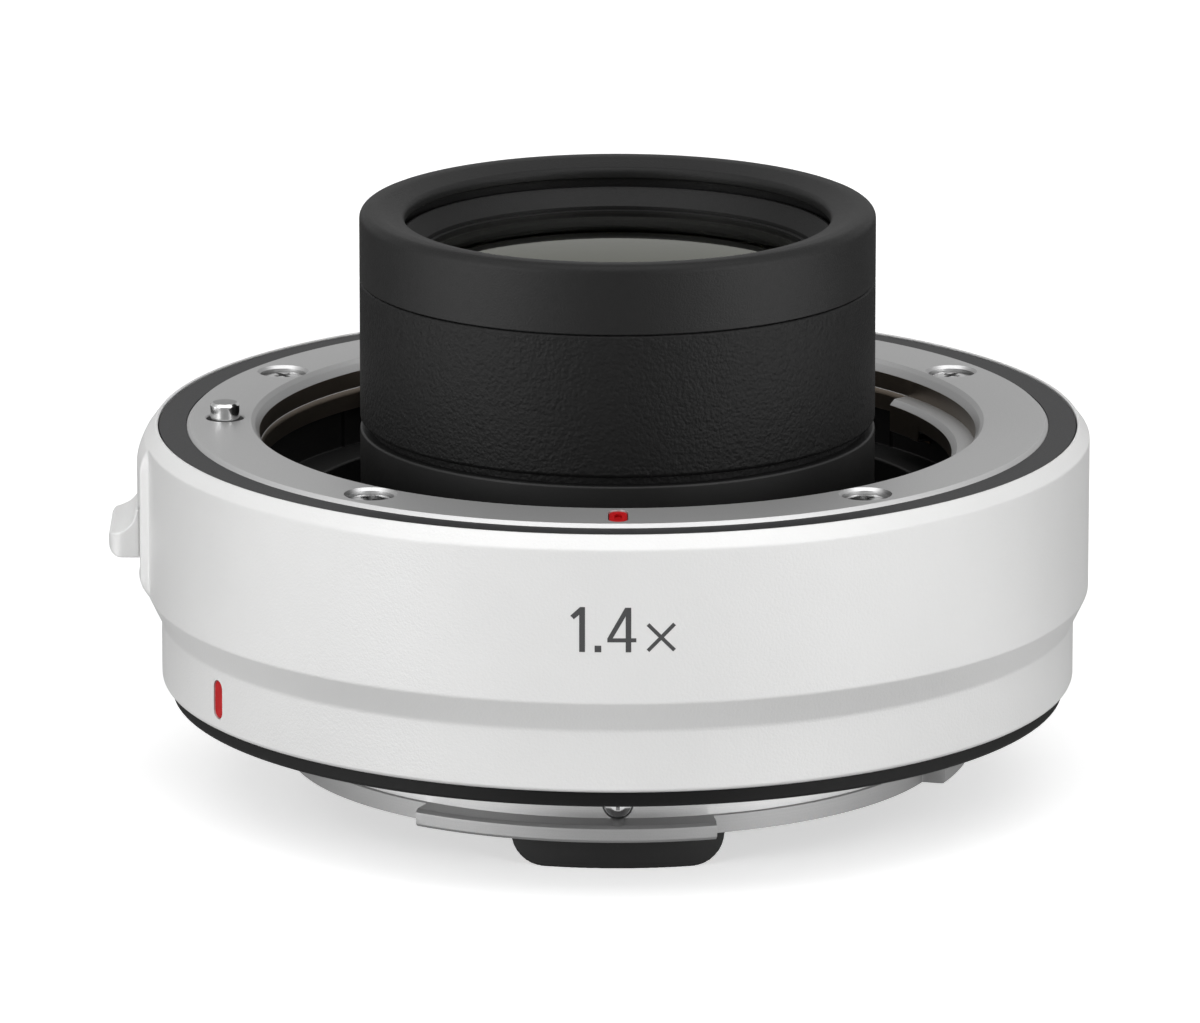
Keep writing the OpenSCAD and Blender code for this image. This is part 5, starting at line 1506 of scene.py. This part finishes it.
class TELE_OT_stage(bpy.types.Operator):
    """Makes the pale floor, the soft light and the camera"""
    bl_idname = "tele.stage"
    bl_label = "Stage"

    # Name, place, width, height and power of each lamp, which all face the part
    lamps = (
        ("overhead", (0.0, -0.34, 1.0), 1.6, 0.8, 8.8),
        ("left", (-0.84, -0.72, 0.20), 0.5, 0.42, 6.3),
        ("right", (0.86, -0.72, 0.20), 0.5, 0.42, 6.0),
    )
    lamp_aim = Vector((0, 0, 0.01))
    floor_r = 4.0
    floor_tones = (0.86, 0.12)
    cloud_tone = 0.02
    glow_seen = 0.55
    glow_mirrored = 0.25
    glow_beside = 2.7

    def execute(self, context):
        scene = context.scene
        scene.view_settings.view_transform = "Standard"
        self.floor()
        self.surroundings(scene)
        for lamp in self.lamps:
            self.lamp(scene, *lamp)
        self.camera(scene)
        return {"FINISHED"}

    @staticmethod
    def rays(shader, *kinds):
        """1 for rays of the kinds that are named."""
        kinds = [shader.node("ShaderNodeLightPath", output=f"Is {kind} Ray") for kind in kinds]
        return functools.reduce(lambda one, other: one.math("MAXIMUM", other), kinds)

    @staticmethod
    def beside(x, y, reach=1.0):
        """1 towards the left and the right, falling to 0 in front and, over a reach, behind."""
        return (x * x * (x * x + y * y) ** -1.0).between(0.25, 0.8) * y.between(0.45 * reach, -0.1 * reach)

    @staticmethod
    def grey(level):
        """A colour without a tint."""
        return (level, level, level, 1.0)

    def floor(self):
        """A pale floor that is white to the eye and keeps the part's shadow, and grey to other light."""
        shape = bmesh.new()
        bmesh.ops.create_circle(shape, cap_ends=True, segments=96, radius=self.floor_r)
        bmesh.ops.translate(shape, vec=(0, 0, CAD_BOX[0].z), verts=shape.verts)
        floor = mesh_piece("floor", shape)
        made = bpy.data.materials.new("pale_floor")
        made.use_nodes = True
        shader = Shader(made.node_tree)
        cloud = shader.noise(0.2, 2.0)
        pale, dark = (shader.node("ShaderNodeBsdfPrincipled", (), {
            "Base Color": shader.mix(cloud, self.grey(tone), self.grey(tone + self.cloud_tone)),
            "Roughness": 0.8, "Specular IOR Level": 0.1}) for tone in self.floor_tones)
        x, y, _ = shader.axes(shader.place())
        glossy = self.rays(shader, "Glossy")
        plain = shader.mix(glossy, self.grey(self.glow_seen), self.grey(self.glow_mirrored))
        away = ((x * x + y * y) ** 0.5).between(0.05, 0.09)
        sheen = self.beside(x, y, 0.15) * glossy * away
        glow = shader.node("ShaderNodeEmission", (), {
            "Color": shader.mix(sheen, plain, self.grey(self.glow_beside)), "Strength": 1.0})
        lit = shader.node("ShaderNodeAddShader", (), {0: pale, 1: glow})
        seen = self.rays(shader, "Camera", "Transmission").math("MAXIMUM", glossy * y.between(0.03, -0.01))
        mixed = shader.node("ShaderNodeMixShader", (), {0: seen, 1: dark, 2: lit})
        shader.node("ShaderNodeOutputMaterial", (), {"Surface": mixed})
        floor.data.materials.append(made)

    def surroundings(self, scene):
        """A world that is white to the eye, and dimmer where it lights and where it is reflected."""
        scene.world = bpy.data.worlds.new("studio")
        scene.world.use_nodes = True
        shader = Shader(scene.world.node_tree)
        stage = scene.tele_stage
        aside, ahead, _ = shader.axes(shader.node("ShaderNodeTexCoord", output="Generated"))
        mirrored = ahead.between(-0.95, -0.25) * (stage.reflected - stage.dim) + stage.dim
        mirrored = mirrored + self.beside(aside, ahead) * stage.sheen
        fill = ahead.between(-0.2, 0.7) * stage.fill + stage.world
        strength = self.rays(shader, "Glossy", "Transmission") * (mirrored - fill) + fill
        light, white = (shader.node("ShaderNodeBackground", (), {"Color": self.grey(1.0), "Strength": power})
                        for power in (strength, 1.0))
        mixed = shader.node("ShaderNodeMixShader", (), {0: self.rays(shader, "Camera"), 1: light, 2: white})
        shader.node("ShaderNodeOutputWorld", (), {"Surface": mixed})

    def lamp(self, scene, name, place, wide, high, power):
        """One soft area lamp that faces the part."""
        data = bpy.data.lights.new(name, "AREA")
        data.shape = "RECTANGLE"
        data.size = wide
        data.size_y = high
        data.energy = power
        lamp = bpy.data.objects.new(name, data)
        lamp.location = place
        lamp.rotation_euler = (self.lamp_aim - Vector(place)).to_track_quat("-Z", "Y").to_euler()
        scene.collection.objects.link(lamp)

    @staticmethod
    def camera(scene):
        """A long lens at the photograph's height."""
        stage = scene.tele_stage
        data = bpy.data.cameras.new("view")
        data.lens = stage.focal
        data.sensor_width = 36.0
        data.clip_start = 0.05
        rise = math.radians(stage.elevation)
        back, up = stage.distance * math.cos(rise), stage.distance * math.sin(rise)
        camera = bpy.data.objects.new("view", data)
        camera.location = (stage.aside, -back, stage.aim + up)
        camera.rotation_euler = (math.pi / 2 - rise, 0.0, 0.0)
        scene.collection.objects.link(camera)
        scene.camera = camera


class TELE_PT_panel(bpy.types.Panel):
    """Lists the groups of pieces and the settings"""
    bl_idname = "TELE_PT_panel"
    bl_label = "Teleconverter"
    bl_space_type = "VIEW_3D"
    bl_region_type = "UI"
    bl_category = "Teleconverter"

    def draw(self, context):
        for operator in OPERATORS:
            self.layout.operator(operator.bl_idname)
        for group in (context.scene.tele_sizes, context.scene.tele_colours, context.scene.tele_stage):
            for name in group.__annotations__:
                self.layout.prop(group, name)


GROUPS = {"tele_sizes": TeleSizes, "tele_colours": TeleColours, "tele_stage": TeleStage}
OPERATORS = (TELE_OT_stage, TELE_OT_shell, TELE_OT_number, TELE_OT_marks, TELE_OT_front_mount,
             TELE_OT_throat, TELE_OT_barrel, TELE_OT_optics, TELE_OT_rear_mount, TELE_OT_rear_contacts,
             TELE_OT_release, TELE_OT_works)


def register():
    for name, group in GROUPS.items():
        bpy.utils.register_class(group)
        setattr(bpy.types.Scene, name, PointerProperty(type=group))
    for operator in OPERATORS:
        bpy.utils.register_class(operator)
    bpy.utils.register_class(TELE_PT_panel)


def unregister():
    bpy.utils.unregister_class(TELE_PT_panel)
    for operator in reversed(OPERATORS):
        bpy.utils.unregister_class(operator)
    for name, group in GROUPS.items():
        delattr(bpy.types.Scene, name)
        bpy.utils.unregister_class(group)


def main():
    register()
    for operator in OPERATORS:
        space, name = operator.bl_idname.split(".")
        getattr(getattr(bpy.ops, space), name)()


if __name__ == "__main__":
    main()
